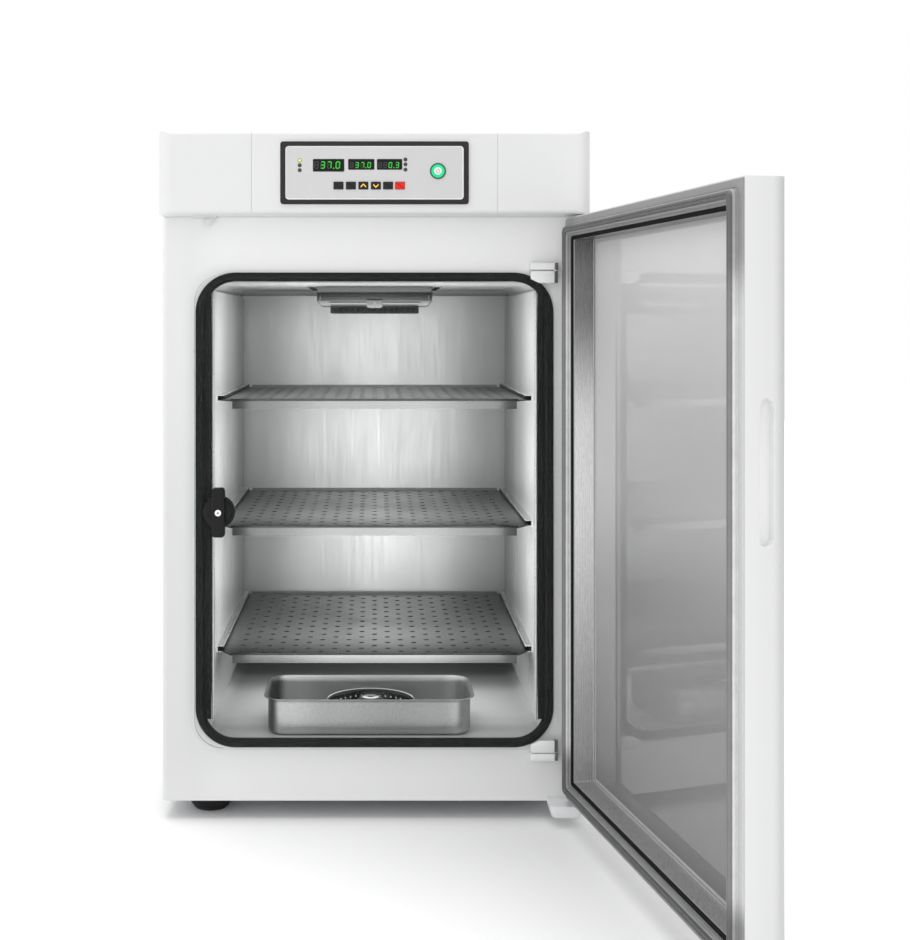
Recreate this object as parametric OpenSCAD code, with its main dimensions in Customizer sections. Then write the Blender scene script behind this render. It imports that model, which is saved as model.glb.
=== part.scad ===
// Laboratory CO2 incubator: insulated cabinet with a stainless chamber, a glass
// inner door, an insulated outer door and a control head. Millimetres, +Z up.
// The origin is at the centre of the front left foot's contact face, on the
// floor; +Y runs into the cabinet and +X to its right. The outer door is drawn
// open, as it stands in use.

/* [Cabinet] */
// Width of the cabinet body
body_w = 620; // [616:1:630]
// Depth of the cabinet body behind its front face
body_d = 640; // [630:5:680]
// Height of the underside of the cabinet above the floor
foot_h = 28; // [26:1:30]
// Thickness of the painted sheet steel
sheet = 1.5; // [1:0.1:2]
// Reach of each levelling foot from the centre line, left and right
foot_x = 245; // [230:1:250]
// Distance of a levelling foot from the front and rear faces
foot_y = 63; // [56:1:70]
// How much farther back the front right foot stands, behind the hinge bracket
foot_back = 55; // [0:5:80]
// Radius of the floor contact face of a levelling foot
foot_r = 24; // [18:1:28]

/* [Chamber] */
// Clear width of the stainless chamber between its outer walls
chamber_w = 500; // [496:1:500]
// Depth of the chamber behind the front face
chamber_d = 530; // [520:1:534]
// Corner radius of the chamber
chamber_r = 24; // [16:1:28]
// Height of the upper face of the top shelf above the floor
shelf_top_z = 610; // [590:1:640]
// Height of the upper face of the middle shelf above the floor
shelf_mid_z = 423; // [400:1:430]
// Height of the upper face of the bottom shelf above the floor
shelf_low_z = 235; // [215:1:245]
// Diameter of a perforation in a shelf
perf_d = 9; // [6:0.5:10]

/* [Water pan] */
// Outer width of the humidity pan at its rim
pan_w = 314; // [290:1:320]
// Outer depth of the humidity pan at its rim
pan_dp = 153; // [152:1:158]
// Height of the rim of the humidity pan above the chamber floor
pan_h = 55; // [50:1:60]

/* [Outer door] */
// Angle at which the outer door is drawn open
door_angle = 100; // [96:1:104]
// Thickness of the outer door from its front skin to its inner flange
door_t = 50; // [48:1:52]
// Height of a hand grip slot in the free edge of the outer door
grip_len = 155; // [140:1:165]

/* [Inner door] */
// Thickness of the glass inner door
glass_t = 5; // [4.5:0.1:5.2]
// Diameter of the latch knob's round base
knob_d = 46; // [40:1:46]
// Length of the latch knob's grip bar
knob_bar = 70; // [60:1:72]

/* [Control head] */
// Width of the control head
head_w = 615; // [608:1:618]
// Height of the top of the control head above the floor
head_top = 996.5; // [988:0.5:1005]
// Width of the display panel's black frame
panel_w = 266.6; // [262:0.2:268]
// Height of the display panel's black frame
panel_h = 88.9; // [86:0.1:90]

/* [Hidden] */
$fn = 64;

body_top = 879;                 // top of the cabinet body
ch_z0 = 114;                    // chamber floor
ch_z1 = 784;                    // chamber ceiling
liner_t = 1.5;                  // stainless sheet of the chamber
ch_zc = (ch_z0 + ch_z1) / 2;
ch_h = ch_z1 - ch_z0;

head_y0 = -62;                  // front of the control head
head_z0 = 879.3;                // underside of the control head
seal_r = 58;                    // outer corner radius of the chamber's seal
mouth_r = 40;                   // corner radius of the opening in the front sheet
head_split = 174.5;             // seams between the head's centre and its caps
head_y1 = 60;                   // rear edge of the moulded head covers
panel_z = 937;                  // centre height of the display panel

dx = 304;                       // half width of the outer door
dz0 = 37;                       // bottom of the outer door
dz1 = 876;                      // top of the outer door
dyf = -12;                      // inner flange plane of the closed outer door
dy0 = dyf - door_t;             // front skin of the closed outer door
dzc = (dz0 + dz1) / 2;
dhz = dz1 - dz0;
hinge_x = 292;                  // outer door's hinge axis
hinge_y = -26.5;

gx0 = -263;                     // inner glass door, free edge
gx1 = 266.5;                     // inner glass door, hinge edge
gz0 = 106.5;
gz1 = 796;
gy1 = -9.4;                     // rear face of the inner glass
gy0 = gy1 - glass_t;            // front face of the inner glass
ihx = 262.5;                    // inner door's hinge axis
ihy = -12;
knob_x = -224.5;
knob_z = 452;

fan_y = 275;                    // centre of the ceiling fan unit

// The build frame is the cabinet's own, from the middle of its front face; this
feet_at = [[-foot_x, foot_y], [foot_x, foot_y + foot_back], [-foot_x, body_d - foot_y], [foot_x, body_d - foot_y]];

// moves a finished piece to the origin at the front left foot's contact face
module at_foot() translate([foot_x, -foot_y, 0]) children();

module box(x0, y0, z0, x1, y1, z1) translate([x0, y0, z0]) cube([x1 - x0, y1 - y0, z1 - z0]);

// Rectangle with round corners, centred
module rrect(w, h, r) {
    square([w - 2 * r, h], center = true);
    square([w, h - 2 * r], center = true);
    for (sx = [-1, 1], sy = [-1, 1]) translate([sx * (w / 2 - r), sy * (h / 2 - r)]) circle(r = r);
}

// Extrudes an X-Z outline from y0 to y1
module along_y(y0, y1) translate([0, y1, 0]) rotate([90, 0, 0]) linear_extrude(y1 - y0) children();

// Extrudes a Y-Z outline from x0 to x1
module along_x(x0, x1) translate([x0, 0, 0]) rotate([90, 0, 90]) linear_extrude(x1 - x0) children();

// Round rod along Y
module rod_y(x, y0, y1, z, r) translate([x, y1, z]) rotate([90, 0, 0]) cylinder(r = r, h = y1 - y0);

// Places a shape drawn for the closed outer door at its open angle
module door_open() translate([hinge_x, hinge_y, 0]) rotate([0, 0, door_angle]) translate([-hinge_x, -hinge_y, 0]) children();

// ---------------------------------------------------------------- cabinet

module body_outline(inset) translate([0, body_d / 2]) rrect(body_w - 2 * inset, body_d - 2 * inset, 8 - inset);

module front_fascia() color("whitesmoke") at_foot() difference() {
    translate([0, 0, foot_h]) linear_extrude(body_top - foot_h) intersection() {
        difference() { body_outline(0); body_outline(sheet); }
        translate([-body_w / 2, 0]) square([body_w, 12]);
    }
    along_y(-1, 3) translate([0, ch_zc]) rrect(chamber_w, ch_h, mouth_r);
}

// Side of the cabinet: plain sheet with a folded flange along the top and bottom
module side_panel() {
    box(-body_w / 2, 12.4, foot_h, -body_w / 2 + sheet, body_d - 0.4, body_top);
    box(-body_w / 2 + sheet, 12.4, foot_h, -body_w / 2 + 13, body_d - 0.4, foot_h + sheet);
    box(-body_w / 2 + sheet, 12.4, body_top - sheet, -body_w / 2 + 13, body_d - 0.4, body_top);
}
module left_side_panel() color("whitesmoke") at_foot() side_panel();
module right_side_panel() color("whitesmoke") at_foot() mirror([1, 0, 0]) side_panel();

module rear_panel() color("whitesmoke") at_foot() difference() {
    union() {
        box(-body_w / 2 + 2, body_d - sheet, foot_h + 2, body_w / 2 - 2, body_d, body_top - 2);
        for (s = [-1, 1]) box(s * (body_w / 2 - 8) - 6, body_d - 12, foot_h + 2, s * (body_w / 2 - 8) + 6, body_d - 12 + sheet, body_top - 2);
        for (s = [-1, 1]) box(s * (body_w / 2 - 14) - 0.75, body_d - 12, foot_h + 2, s * (body_w / 2 - 14) + 0.75, body_d - 0.5, body_top - 2);
    }
    // ventilation slots near the foot of the panel
    for (i = [-6:6]) box(i * 24 - 8, body_d - 5, 60, i * 24 + 8, body_d + 1, 64);
    for (i = [-6:6]) box(i * 24 - 8, body_d - 5, 72, i * 24 + 8, body_d + 1, 76);
}

module base_pan() color("gainsboro") at_foot() difference() {
    union() {
        box(-296.6, 2, foot_h, 296.6, body_d - 14, foot_h + sheet);
        box(-296.6, 2, foot_h + sheet, 296.6, 3.5, foot_h + 14);
        // doubler plates where the feet screw in
        for (p = feet_at) translate([p.x, p.y, foot_h + sheet]) cylinder(r = 26, h = 3);
    }
    for (p = feet_at) translate([p.x, p.y, foot_h - 1]) cylinder(r = 5, h = 10);
}

module deck_plate() color("gainsboro") at_foot() difference() {
    box(-296.6, 2, body_top - sheet, 296.6, body_d - 14, body_top);
    translate([0, fan_y, 870]) cylinder(r = 8, h = 20);
    translate([45, 390, 870]) cylinder(r = 6, h = 20);
    translate([-45, 390, 870]) cylinder(r = 4, h = 20);
    translate([60, 480, 870]) cylinder(r = 5, h = 20);
}

module cabinet_insulation() color("khaki") at_foot() difference() {
    box(-296, 4.5, foot_h + 6, 296, body_d - 15, body_top - 3);
    box(-254.5, 0, ch_z0 - 4, 254.5, chamber_d + 5, ch_z1 + 4);
    for (p = feet_at) translate([p.x, p.y, 20]) cylinder(r = 28, h = 30);
    translate([0, fan_y, 700]) cylinder(r = 8, h = 200);
    translate([45, 390, 700]) cylinder(r = 13, h = 200);
    translate([-45, 390, 700]) cylinder(r = 4, h = 200);
    translate([60, 480, 700]) cylinder(r = 5, h = 200);
}

module heater_mats() color("darkorange") at_foot() {
    for (s = [-1, 1]) box(s * 252.8 - 0.9, 60, 180, s * 252.8 + 0.9, 480, 720);
    box(-200, 60, ch_z0 - 3.3, 200, 480, ch_z0 - 1.7);
    box(-200, chamber_d + 1.7, 180, 200, chamber_d + 3.3, 720);
}

module chamber_liner() color("silver") at_foot() difference() {
    along_y(1.6, chamber_d + liner_t) translate([0, ch_zc]) rrect(chamber_w + 2 * liner_t, ch_h + 2 * liner_t, chamber_r + liner_t);
    along_y(0, chamber_d) translate([0, ch_zc]) rrect(chamber_w, ch_h, chamber_r);
    translate([0, fan_y, 770]) cylinder(r = 8, h = 30);
    translate([45, 390, 770]) cylinder(r = 12.05, h = 30);
    translate([-45, 390, 770]) cylinder(r = 3.05, h = 30);
    translate([60, 480, 770]) cylinder(r = 3.05, h = 30);
}

// Seal round the mouth, with a flap each side that closes the gap beside the shelf supports
module chamber_gasket() color([0.08, 0.08, 0.08]) at_foot() {
    along_y(-7, 0) translate([0, 452.5]) difference() { rrect(521, 691, seal_r); rrect(495, 665, seal_r - 13); }
    along_y(-9, -7) translate([0, 452.5]) difference() { rrect(517, 687, seal_r - 2); rrect(499, 669, seal_r - 11); }
    for (s = [-1, 1]) along_y(-1, 1.4) intersection() {
        translate([0, ch_zc]) rrect(chamber_w - 0.6, ch_h - 0.6, mouth_r - 0.3);
        translate([s * 243.3 - 5, 140]) square([10, 635]);
    }
}

// Panel that stands off the chamber wall and carries the shelf rails
module shelf_support() {
    box(-237.2, 10, 143, -236, 505, 772);
    translate([-236.6, 10, 143]) cylinder(r = 1.6, h = 629);
    for (y = [60, 450], z = [180, 360, 540, 730]) translate([-250, y, z]) rotate([0, 90, 0]) cylinder(r = 6, h = 12.9);
}
module shelf_supports() color("silver") at_foot() {
    shelf_support();
    mirror([1, 0, 0]) shelf_support();
    // catch that the latch cam turns behind
    box(-236, 5, 438, -231, 6.2, 466);
    box(-236, 6.2, 438, -234.9, 24, 466);
}

// Channel that a shelf's edge slides in
module rail(zt) {
    box(-236, 55, zt - 2.7, -234.8, 500, zt + 7);
    box(-234.8, 55, zt - 2.7, -226, 500, zt - 1.5);
    box(-234.8, 55, zt + 5.8, -226, 500, zt + 7);
}
module shelf_rails() color("silver") at_foot() for (m = [0, 1]) mirror([m, 0, 0]) for (z = [shelf_top_z, shelf_mid_z, shelf_low_z]) rail(z);

// Levelling foot: moulded bowl on a threaded stud
module foot() {
    cylinder(r1 = foot_r, r2 = 27, h = 3);
    translate([0, 0, 3]) cylinder(r1 = 27, r2 = 34, h = 12);
    translate([0, 0, 15]) cylinder(r = 34, h = 6);
    translate([0, 0, 21]) cylinder(r = 12, h = foot_h - 21);
    translate([0, 0, 25]) cylinder(r = 4.95, h = 24);
}
module leveling_feet() color([0.08, 0.08, 0.08]) at_foot() for (p = feet_at) translate([p.x, p.y, 0]) foot();

// ------------------------------------------------------------ ceiling fan

module fan_mount_tray() color("silver") at_foot() difference() {
    union() {
        difference() {
            along_y(205, 345) polygon([[-92, 773], [92, 773], [92, 761], [85, 752], [-85, 752], [-92, 761]]);
            along_y(206.4, 343.6) polygon([[-90.6, 790], [90.6, 790], [90.6, 761.6], [84.3, 753.4], [-84.3, 753.4], [-90.6, 761.6]]);
        }
        for (s = [-1, 1]) {
            box(s * 91.3 - 0.7, 222, 765, s * 91.3 + 0.7, 328, 784);
            box(s * 100.6 - 8.6, 222, 782.6, s * 100.6 + 8.6, 328, 784);
        }
        // folded tab and its screw
        box(-12.5, 203.4, 750, 12.5, 205, 762);
        rod_y(0, 201.4, 203.4, 756, 3.2);
    }
    translate([0, fan_y, 740]) cylinder(r = 50, h = 20);
}

module fan_grille() color([0.1, 0.1, 0.1]) at_foot() difference() {
    box(-71, 219, 741, 71, 331, 751.9);
    box(-69, 221, 743, 69, 329, 753);
    for (i = [-7:7]) box(i * 9 - 2.6, 227, 740, i * 9 + 2.6, 323, 744);
    for (i = [-7:7]) box(i * 9 - 2.6, 215, 744.5, i * 9 + 2.6, 335, 749.5);
}

module fan_motor() color([0.25, 0.25, 0.27]) at_foot() difference() {
    union() {
        translate([0, fan_y, 879]) cylinder(r = 32, h = 4);
        translate([0, fan_y, 883]) cylinder(r = 27, h = 44);
        translate([0, fan_y, 927]) cylinder(r = 10, h = 4);
    }
    translate([0, fan_y, 878]) cylinder(r = 3.08, h = 30);
}

module fan_impeller() color([0.85, 0.85, 0.87]) at_foot() translate([0, fan_y, 0]) {
    translate([0, 0, 757]) cylinder(r = 11, h = 15);
    translate([0, 0, 770.5]) cylinder(r = 44, h = 1.5);
    translate([0, 0, 770]) cylinder(r = 3, h = 136);
    for (a = [0:30:359]) rotate([0, 0, a]) box(24, -0.7, 757, 43, 0.7, 771);
}

module co2_sensor() color("gainsboro") at_foot() translate([45, 390, 0]) {
    translate([0, 0, 748]) cylinder(r = 12, h = 52);
    translate([0, 0, 778]) cylinder(r = 15, h = 5.9);
    translate([0, 0, 799]) cylinder(r = 5, h = 88);
}

module temperature_probe() color("silver") at_foot() translate([-45, 390, 0]) {
    translate([0, 0, 742]) cylinder(r = 3, h = 145);
    translate([0, 0, 777]) cylinder(r = 8, h = 6.9);
}

// ------------------------------------------------------------ control head

// Outer form of the head, shrunk by an inset on every face
module head_form(i) intersection() {
    translate([0, 0, head_z0 + i]) linear_extrude(head_top - head_z0 - 2 * i) translate([0, 90]) rrect(head_w - 2 * i, 304 - 2 * i, 20 - i);
    along_x(-head_w / 2 + i, head_w / 2 - i) translate([90, (head_z0 + head_top) / 2]) rrect(304 - 2 * i, head_top - head_z0 - 2 * i, 6 - i);
}
module head_shell(x0, x1) intersection() {
    difference() { head_form(0); head_form(3); }
    box(x0, head_y0 - 1, 870, x1, head_y1, 1010);
}

module head_center_cover() color("whitesmoke") at_foot() difference() {
    head_shell(-head_split + 0.3, head_split - 0.3);
    along_y(head_y0 - 2, head_y0 + 6) translate([0, panel_z]) rrect(256, 79.6, 5);
}
module head_left_cap() color("whitesmoke") at_foot() head_shell(-head_w / 2 - 1, -head_split);
module head_right_cap() color("whitesmoke") at_foot() difference() {
    head_shell(head_split, head_w / 2 + 1);
    translate([hinge_x, hinge_y, 875]) cylinder(r = 5, h = 12);
}

module head_rear_cover() color("whitesmoke") at_foot() difference() {
    box(-head_w / 2 + 0.5, head_y1 + 0.4, head_z0, head_w / 2 - 0.5, body_d, head_top - 4);
    box(-head_w / 2 + 2, head_y1 - 1, head_z0 - 2, head_w / 2 - 2, body_d - sheet, head_top - 5.5);
    rod_y(200, body_d - 5, body_d + 5, 930, 8.1);
    box(-224.1, body_d - 5, 915.9, -175.9, body_d + 5, 944.1);
    for (i = [-4:4]) box(i * 26 - 9, body_d - 5, 905, i * 26 + 9, body_d + 5, 908);
    for (i = [-4:4]) box(i * 26 - 9, body_d - 5, 918, i * 26 + 9, body_d + 5, 921);
    for (i = [-4:4]) box(i * 26 - 9, body_d - 5, 931, i * 26 + 9, body_d + 5, 934);
}

module display_bezel() color([0.12, 0.12, 0.13]) at_foot() difference() {
    union() {
        along_y(-65, head_y0) translate([0, panel_z]) rrect(panel_w, panel_h, 4);
        along_y(head_y0, -57) translate([0, panel_z]) rrect(255.4, 79, 4.7);
    }
    along_y(-70, -50) translate([0, panel_z]) rrect(252.8, 76.4, 4.2);
}

key_x = [-51, -33.4, -15.8, 1.9, 19.1, 36];
key_z = panel_z - 18.1;
lamp_pos = [[-105.9, 17.6], [-105.9, 10.6], [-105.9, 3.7], [43.7, 18.8], [43.7, 12], [43.7, 4.5]];
win = [[-65, 10.6, 44, 17.5], [-18.7, 11.9, 36.8, 14.8], [21.3, 11.9, 35.5, 14.8]];
power_x = 89.7;
power_z = panel_z + 2.4;

module control_panel() color([0.78, 0.79, 0.8]) at_foot() difference() {
    along_y(-64, -61.5) translate([0, panel_z]) rrect(252.6, 76.2, 4);
    for (k = key_x) along_y(-66, -60) translate([k, key_z]) rrect(14.2, 11.1, 0.8);
    for (p = lamp_pos) rod_y(p[0], -66, -60, panel_z + p[1], 2.85);
    for (w = win) along_y(-66, -60) translate([w[0], panel_z + w[1]]) square([w[2], w[3]], center = true);
    rod_y(power_x, -66, -60, power_z, 10.6);
}

module display_windows() color([0.05, 0.05, 0.06]) at_foot() for (w = win)
    along_y(-63.7, -58) translate([w[0], panel_z + w[1]]) square([w[2] - 0.1, w[3] - 0.1], center = true);

module indicator_lamps() color("gold") at_foot() for (p = lamp_pos) rod_y(p[0], -64.9, -58, panel_z + p[1], 2.8);

module key_cap(i) {
    along_y(-65.4, -60.9) translate([key_x[i], key_z]) rrect(13.6, 10.5, 1);
    along_y(-60.9, -59.6) translate([key_x[i], key_z]) rrect(15.6, 12.6, 1);
    along_y(-59.6, -57) translate([key_x[i], key_z]) circle(r = 2);
}
module key_menu() color([0.12, 0.12, 0.13]) at_foot() key_cap(0);
module key_mode() color([0.12, 0.12, 0.13]) at_foot() key_cap(1);
module key_up() color([0.12, 0.12, 0.13]) at_foot() key_cap(2);
module key_down() color([0.12, 0.12, 0.13]) at_foot() key_cap(3);
module key_enter() color([0.12, 0.12, 0.13]) at_foot() key_cap(4);
module key_stop() color([0.86, 0.2, 0.13]) at_foot() key_cap(5);

module power_button_ring() color([0.3, 0.32, 0.33]) at_foot() difference() {
    union() {
        rod_y(power_x, -65.4, -64, power_z, 11.3);
        rod_y(power_x, -64, -55, power_z, 10.5);
    }
    rod_y(power_x, -70, -50, power_z, 9.6);
}
module power_button_cap() color([0.1, 0.9, 0.55]) at_foot() {
    rod_y(power_x, -66.4, -57, power_z, 9.3);
    rod_y(power_x, -57, -54, power_z, 3);
}

module main_board() color([0.1, 0.35, 0.2]) at_foot() {
    box(-122, -51.6, 900, 122, -50, 974);
    for (sx = [-1, 1], z = [panel_z - 31, panel_z + 31]) rod_y(sx * 117, -61.5, -51.6, z, 3);
    box(-90, -50, 905, -40, -38, 935);
    box(10, -50, 945, 70, -42, 968);
}

module gas_valve() color([0.75, 0.6, 0.25]) at_foot() {
    box(45, 465, 900, 75, 495, 925);
    translate([60, 480, 925]) cylinder(r = 13, h = 32);
}

// Tubing from the rear inlet to the valve, and from the valve into the chamber
module gas_tube() color([0.85, 0.9, 0.95]) at_foot() {
    translate([60, 480, 780]) cylinder(r = 3, h = 120);
    translate([75, 480, 912]) rotate([0, 90, 0]) cylinder(r = 3, h = 125);
    translate([200, 480, 912]) cylinder(r = 3, h = 18);
    translate([200, 480, 912]) sphere(r = 3);
    translate([200, 480, 930]) sphere(r = 3);
    rod_y(200, 480, 622, 930, 3);
}

module gas_inlet() color([0.75, 0.6, 0.3]) at_foot() difference() {
    union() {
        rod_y(200, 625, body_d, 930, 8);
        along_y(body_d, body_d + 5) translate([200, 930]) circle(r = 11, $fn = 6);
        rod_y(200, 622, 625, 930, 4);
        rod_y(200, body_d + 5, body_d + 23, 930, 4);
    }
    rod_y(200, 621, body_d + 24, 930, 2.4);
}

module power_inlet() color([0.1, 0.1, 0.11]) at_foot() difference() {
    union() {
        box(-224, 612, 916, -176, body_d, 944);
        box(-229, body_d, 911, -171, body_d + 3, 949);
    }
    difference() {
        box(-212, 621, 921, -188, body_d + 4, 938);
        for (p = [-7, 0, 7]) box(-200 + p - 1, 620, 925, -200 + p + 1, 631, 931);
    }
}

// -------------------------------------------------------- door switch

module door_switch_base() color("gainsboro") at_foot() {
    box(-266, -11.5, 877.2, -230, -1, head_z0);
    box(-248.5, -10.8, 873, -246.2, -7.2, 877.2);
    box(-236.8, -10.8, 873, -234.5, -7.2, 877.2);
    translate([-248.5, -9, 874.5]) rotate([0, 90, 0]) cylinder(r = 0.8, h = 14);
}
module door_switch_lever() color("whitesmoke") at_foot() difference() {
    box(-245.7, -10.6, 865.5, -237.3, -7.4, 875.9);
    translate([-247, -9, 874.5]) rotate([0, 90, 0]) cylinder(r = 0.86, h = 12);
}

// ------------------------------------------------- outer door and hinges

module hinge_bracket_upper() color("silver") at_foot() {
    box(262, -45, 882.5, 300, 40, 886);
    translate([hinge_x, hinge_y, 852]) cylinder(r = 4, h = 30.5);
}

module hinge_bracket_lower() color("gainsboro") at_foot() difference() {
    union() {
        // tapered block under the corner of the door
        along_x(262, 299) polygon([[-44, 20], [-38, 15], [0, 15], [34, 24], [34, foot_h], [0, foot_h], [0, 33], [-44, 33]]);
        along_y(-40, 0) polygon([[252, 32], [262, 33], [262, 15]]);
        translate([hinge_x, hinge_y, 33]) cylinder(r = 8, h = 2);
        translate([hinge_x, hinge_y, 20]) cylinder(r = 4, h = 38);
    }
    box(240, 0.0, 28, 320, 40, 60);
}

module door_rect(inset_x, inset_z, r) translate([0, dzc]) rrect(2 * (dx - inset_x), dhz - 2 * inset_z, r);

// Outline of the outer shell seen from above: round front corners, square at the rear
module door_plan(i) intersection() {
    translate([0, dy0 + i + 45]) rrect(2 * dx - 2 * i, 90, 12 - i);
    translate([-400, -200]) square([800, 200 + dyf - 2]);
}

module grip_hole(y0, y1, x0, x1, z0, z1) {
    // slot with round ends
    translate([x0, 0, 0]) rotate([90, 0, 90]) linear_extrude(x1 - x0) {
        translate([(y0 + y1) / 2, z0 + (y1 - y0) / 2]) circle(r = (y1 - y0) / 2);
        translate([(y0 + y1) / 2, z1 - (y1 - y0) / 2]) circle(r = (y1 - y0) / 2);
        translate([y0, z0 + (y1 - y0) / 2]) square([y1 - y0, z1 - z0 - (y1 - y0)]);
    }
}

module door_outer_shell() color("whitesmoke") at_foot() door_open() difference() {
    union() {
        difference() {
            translate([0, 0, dz0]) linear_extrude(dhz) door_plan(0);
            translate([0, 0, dz0 + sheet]) linear_extrude(dhz - 2 * sheet) difference() {
                translate([0, 0]) union() { door_plan(sheet); translate([-dx + sheet, dyf - 10]) square([2 * dx - 2 * sheet, 20]); }
            }
        }
        // pressed cup of the hand grip
        grip_hole(-48.5, -28.5, -dx + 0.5, -dx + 15.5, 490 - 1.5, 490 + grip_len + 1.5);
    }
    grip_hole(-47, -30, -dx - 1, -dx + 14, 490, 490 + grip_len);
    for (z = [dz0 - 1, dz1 - 5]) translate([hinge_x, hinge_y, z]) cylinder(r = 7, h = 6);
}

// Moulded inner frame: flat flange with a stepped recess behind it
module door_inner_frame() color([0.86, 0.86, 0.87]) at_foot() door_open() difference() {
    union() {
        along_y(dyf - 2, dyf) door_rect(1.5, 1.5, 3);
        along_y(-46, dyf - 2) door_rect(30.5, 30.5, 4);
    }
    along_y(-47, dyf + 1) door_rect(32, 32, 3);
    // groove that holds the gasket's foot
    along_y(dyf - 0.8, dyf + 1) difference() { door_rect(13, 13, 8); door_rect(23, 23, 6); }
}

module door_gasket() color([0.72, 0.73, 0.74]) at_foot() door_open() {
    along_y(dyf - 0.8, dyf) difference() { door_rect(13.2, 13.2, 8); door_rect(22.8, 22.8, 6); }
    along_y(dyf, -6) difference() { door_rect(12, 12, 9); door_rect(24, 24, 5); }
    along_y(-6, -2.4) difference() { door_rect(13.5, 13.5, 8); door_rect(22.5, 22.5, 6); }
}

module door_glass() color([0.6, 0.63, 0.64]) at_foot() door_open() along_y(-50, -46) door_rect(27, 27, 3);

module door_insulation() color("khaki") at_foot() door_open() difference() {
    along_y(-59.5, -15) door_rect(21, 21, 3);
    along_y(-50.2, -10) door_rect(26.5, 26.5, 4);
    along_y(-46, -10) door_rect(26, 26, 4);
}

module door_bushes() color([0.9, 0.9, 0.88]) at_foot() door_open() for (z = [dz0, dz1 - 24]) difference() {
    union() {
        translate([hinge_x, hinge_y, z]) cylinder(r = 6.9, h = 24);
    }
    translate([hinge_x, hinge_y, z - 1]) cylinder(r = 4.06, h = 26);
}

// ------------------------------------------------------ inner glass door

module inner_door_glass() color([0.8, 0.88, 0.86, 0.3]) at_foot() difference() {
    along_y(gy0, gy1) intersection() {
        translate([20, (gz0 + gz1) / 2]) rrect(2 * (20 - gx0), gz1 - gz0, 43);
        union() {
            translate([gx0, gz0]) square([258.4 - gx0, gz1 - gz0]);
            translate([gx0, gz0 + 15]) square([gx1 - gx0, gz1 - gz0 - 30]);
        }
    }
    rod_y(knob_x, gy0 - 1, gy1 + 1, knob_z, 5);
}

// Leaf glued to the glass with the barrel it turns on, drawn for the lower corner
module hinge_leaf() difference() {
    union() {
        along_y(gy0 - 3, gy0) polygon([[228, 102.5], [262, 102.5], [262, 120], [238, 120], [226, 114], [226, 104.5]]);
        translate([ihx, ihy, 102.5]) cylinder(r = 3.5, h = 17.5);
    }
    translate([ihx, ihy, 101]) cylinder(r = 2.06, h = 20);
}
module inner_hinges() color("whitesmoke") at_foot() {
    hinge_leaf();
    translate([0, 0, 902.5]) mirror([0, 0, 1]) hinge_leaf();
}

// Bracket screwed to the front face, with the pin that the leaf turns on
module hinge_fix() {
    box(226, -17, 90.5, 258, 0, 100.8);
    box(258, -15.5, 90.5, 266, 0, 100.8);
    translate([ihx, ihy, 100]) cylinder(r = 2, h = 18);
}
module inner_hinge_brackets() color("whitesmoke") at_foot() {
    hinge_fix();
    translate([0, 0, 902.5]) mirror([0, 0, 1]) hinge_fix();
}

module latch_knob() color([0.07, 0.07, 0.08]) at_foot() translate([knob_x, 0, knob_z]) difference() {
    union() {
        rod_y(0, -22, gy0 - 0.3, 0, knob_d / 2);
        rod_y(0, -26, -22, 0, knob_d / 2 - 4);
        along_y(-36, -22) rrect(18.6, knob_bar, 7);
    }
    rod_y(0, -40, -10, 0, 3);
    rod_y(0, -40, -34, 0, 4.6);
}

module latch_cam() color("silver") at_foot() translate([knob_x, 0, knob_z]) {
    rod_y(0, -36.8, -34, 0, 4.5);
    rod_y(0, -34, 7, 0, 2.95);
    along_y(7, 9.5) { square([8, 8], center = true); translate([-4, 0]) square([8, 9.5]); }
}

// ------------------------------------------------------ shelves and pan

module shelf(zt) difference() {
    union() {
        translate([0, 0, zt - 1.2]) linear_extrude(1.2) polygon([[-212, 25], [212, 25], [231, 55], [231, 515], [-231, 515], [-231, 55]]);
        box(-210, 25, zt - 12, 210, 26.2, zt);
        box(-222, 513.8, zt, 222, 515, zt + 4);
    }
    for (j = [0:22]) for (i = [0:(10 - j % 2)])
        translate([-200 + 40 * i + 20 * (j % 2), 48 + 20 * j, zt - 3]) cylinder(r = perf_d / 2, h = 5);
}
module shelf_top() color("lightgray") at_foot() shelf(shelf_top_z);
module shelf_middle() color("lightgray") at_foot() shelf(shelf_mid_z);
module shelf_bottom() color("lightgray") at_foot() shelf(shelf_low_z);

pan_x = -8;
pan_y = 98.7;
pan_z = ch_z0 + 0.3;

module water_pan() color("silver") at_foot() translate([pan_x, pan_y, pan_z]) difference() {
    union() {
        linear_extrude(pan_h) rrect(pan_w - 12, pan_dp - 12, 25);
        translate([0, 0, pan_h - 1.2]) linear_extrude(1.2) rrect(pan_w, pan_dp, 31);
    }
    translate([0, 0, 1.2]) linear_extrude(pan_h) rrect(pan_w - 14.4, pan_dp - 14.4, 23.8);
}

module pan_dish() color([0.3, 0.3, 0.32]) at_foot() translate([-6, pan_y, pan_z + 1.2]) {
    rotate_extrude() polygon([[0, 0], [50, 0], [66.4, 32], [68.4, 34], [68.4, 35], [65.6, 35], [48.4, 1.6], [21, 1.6], [19, 38], [14, 39.5], [0, 39.5]]);
}

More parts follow.
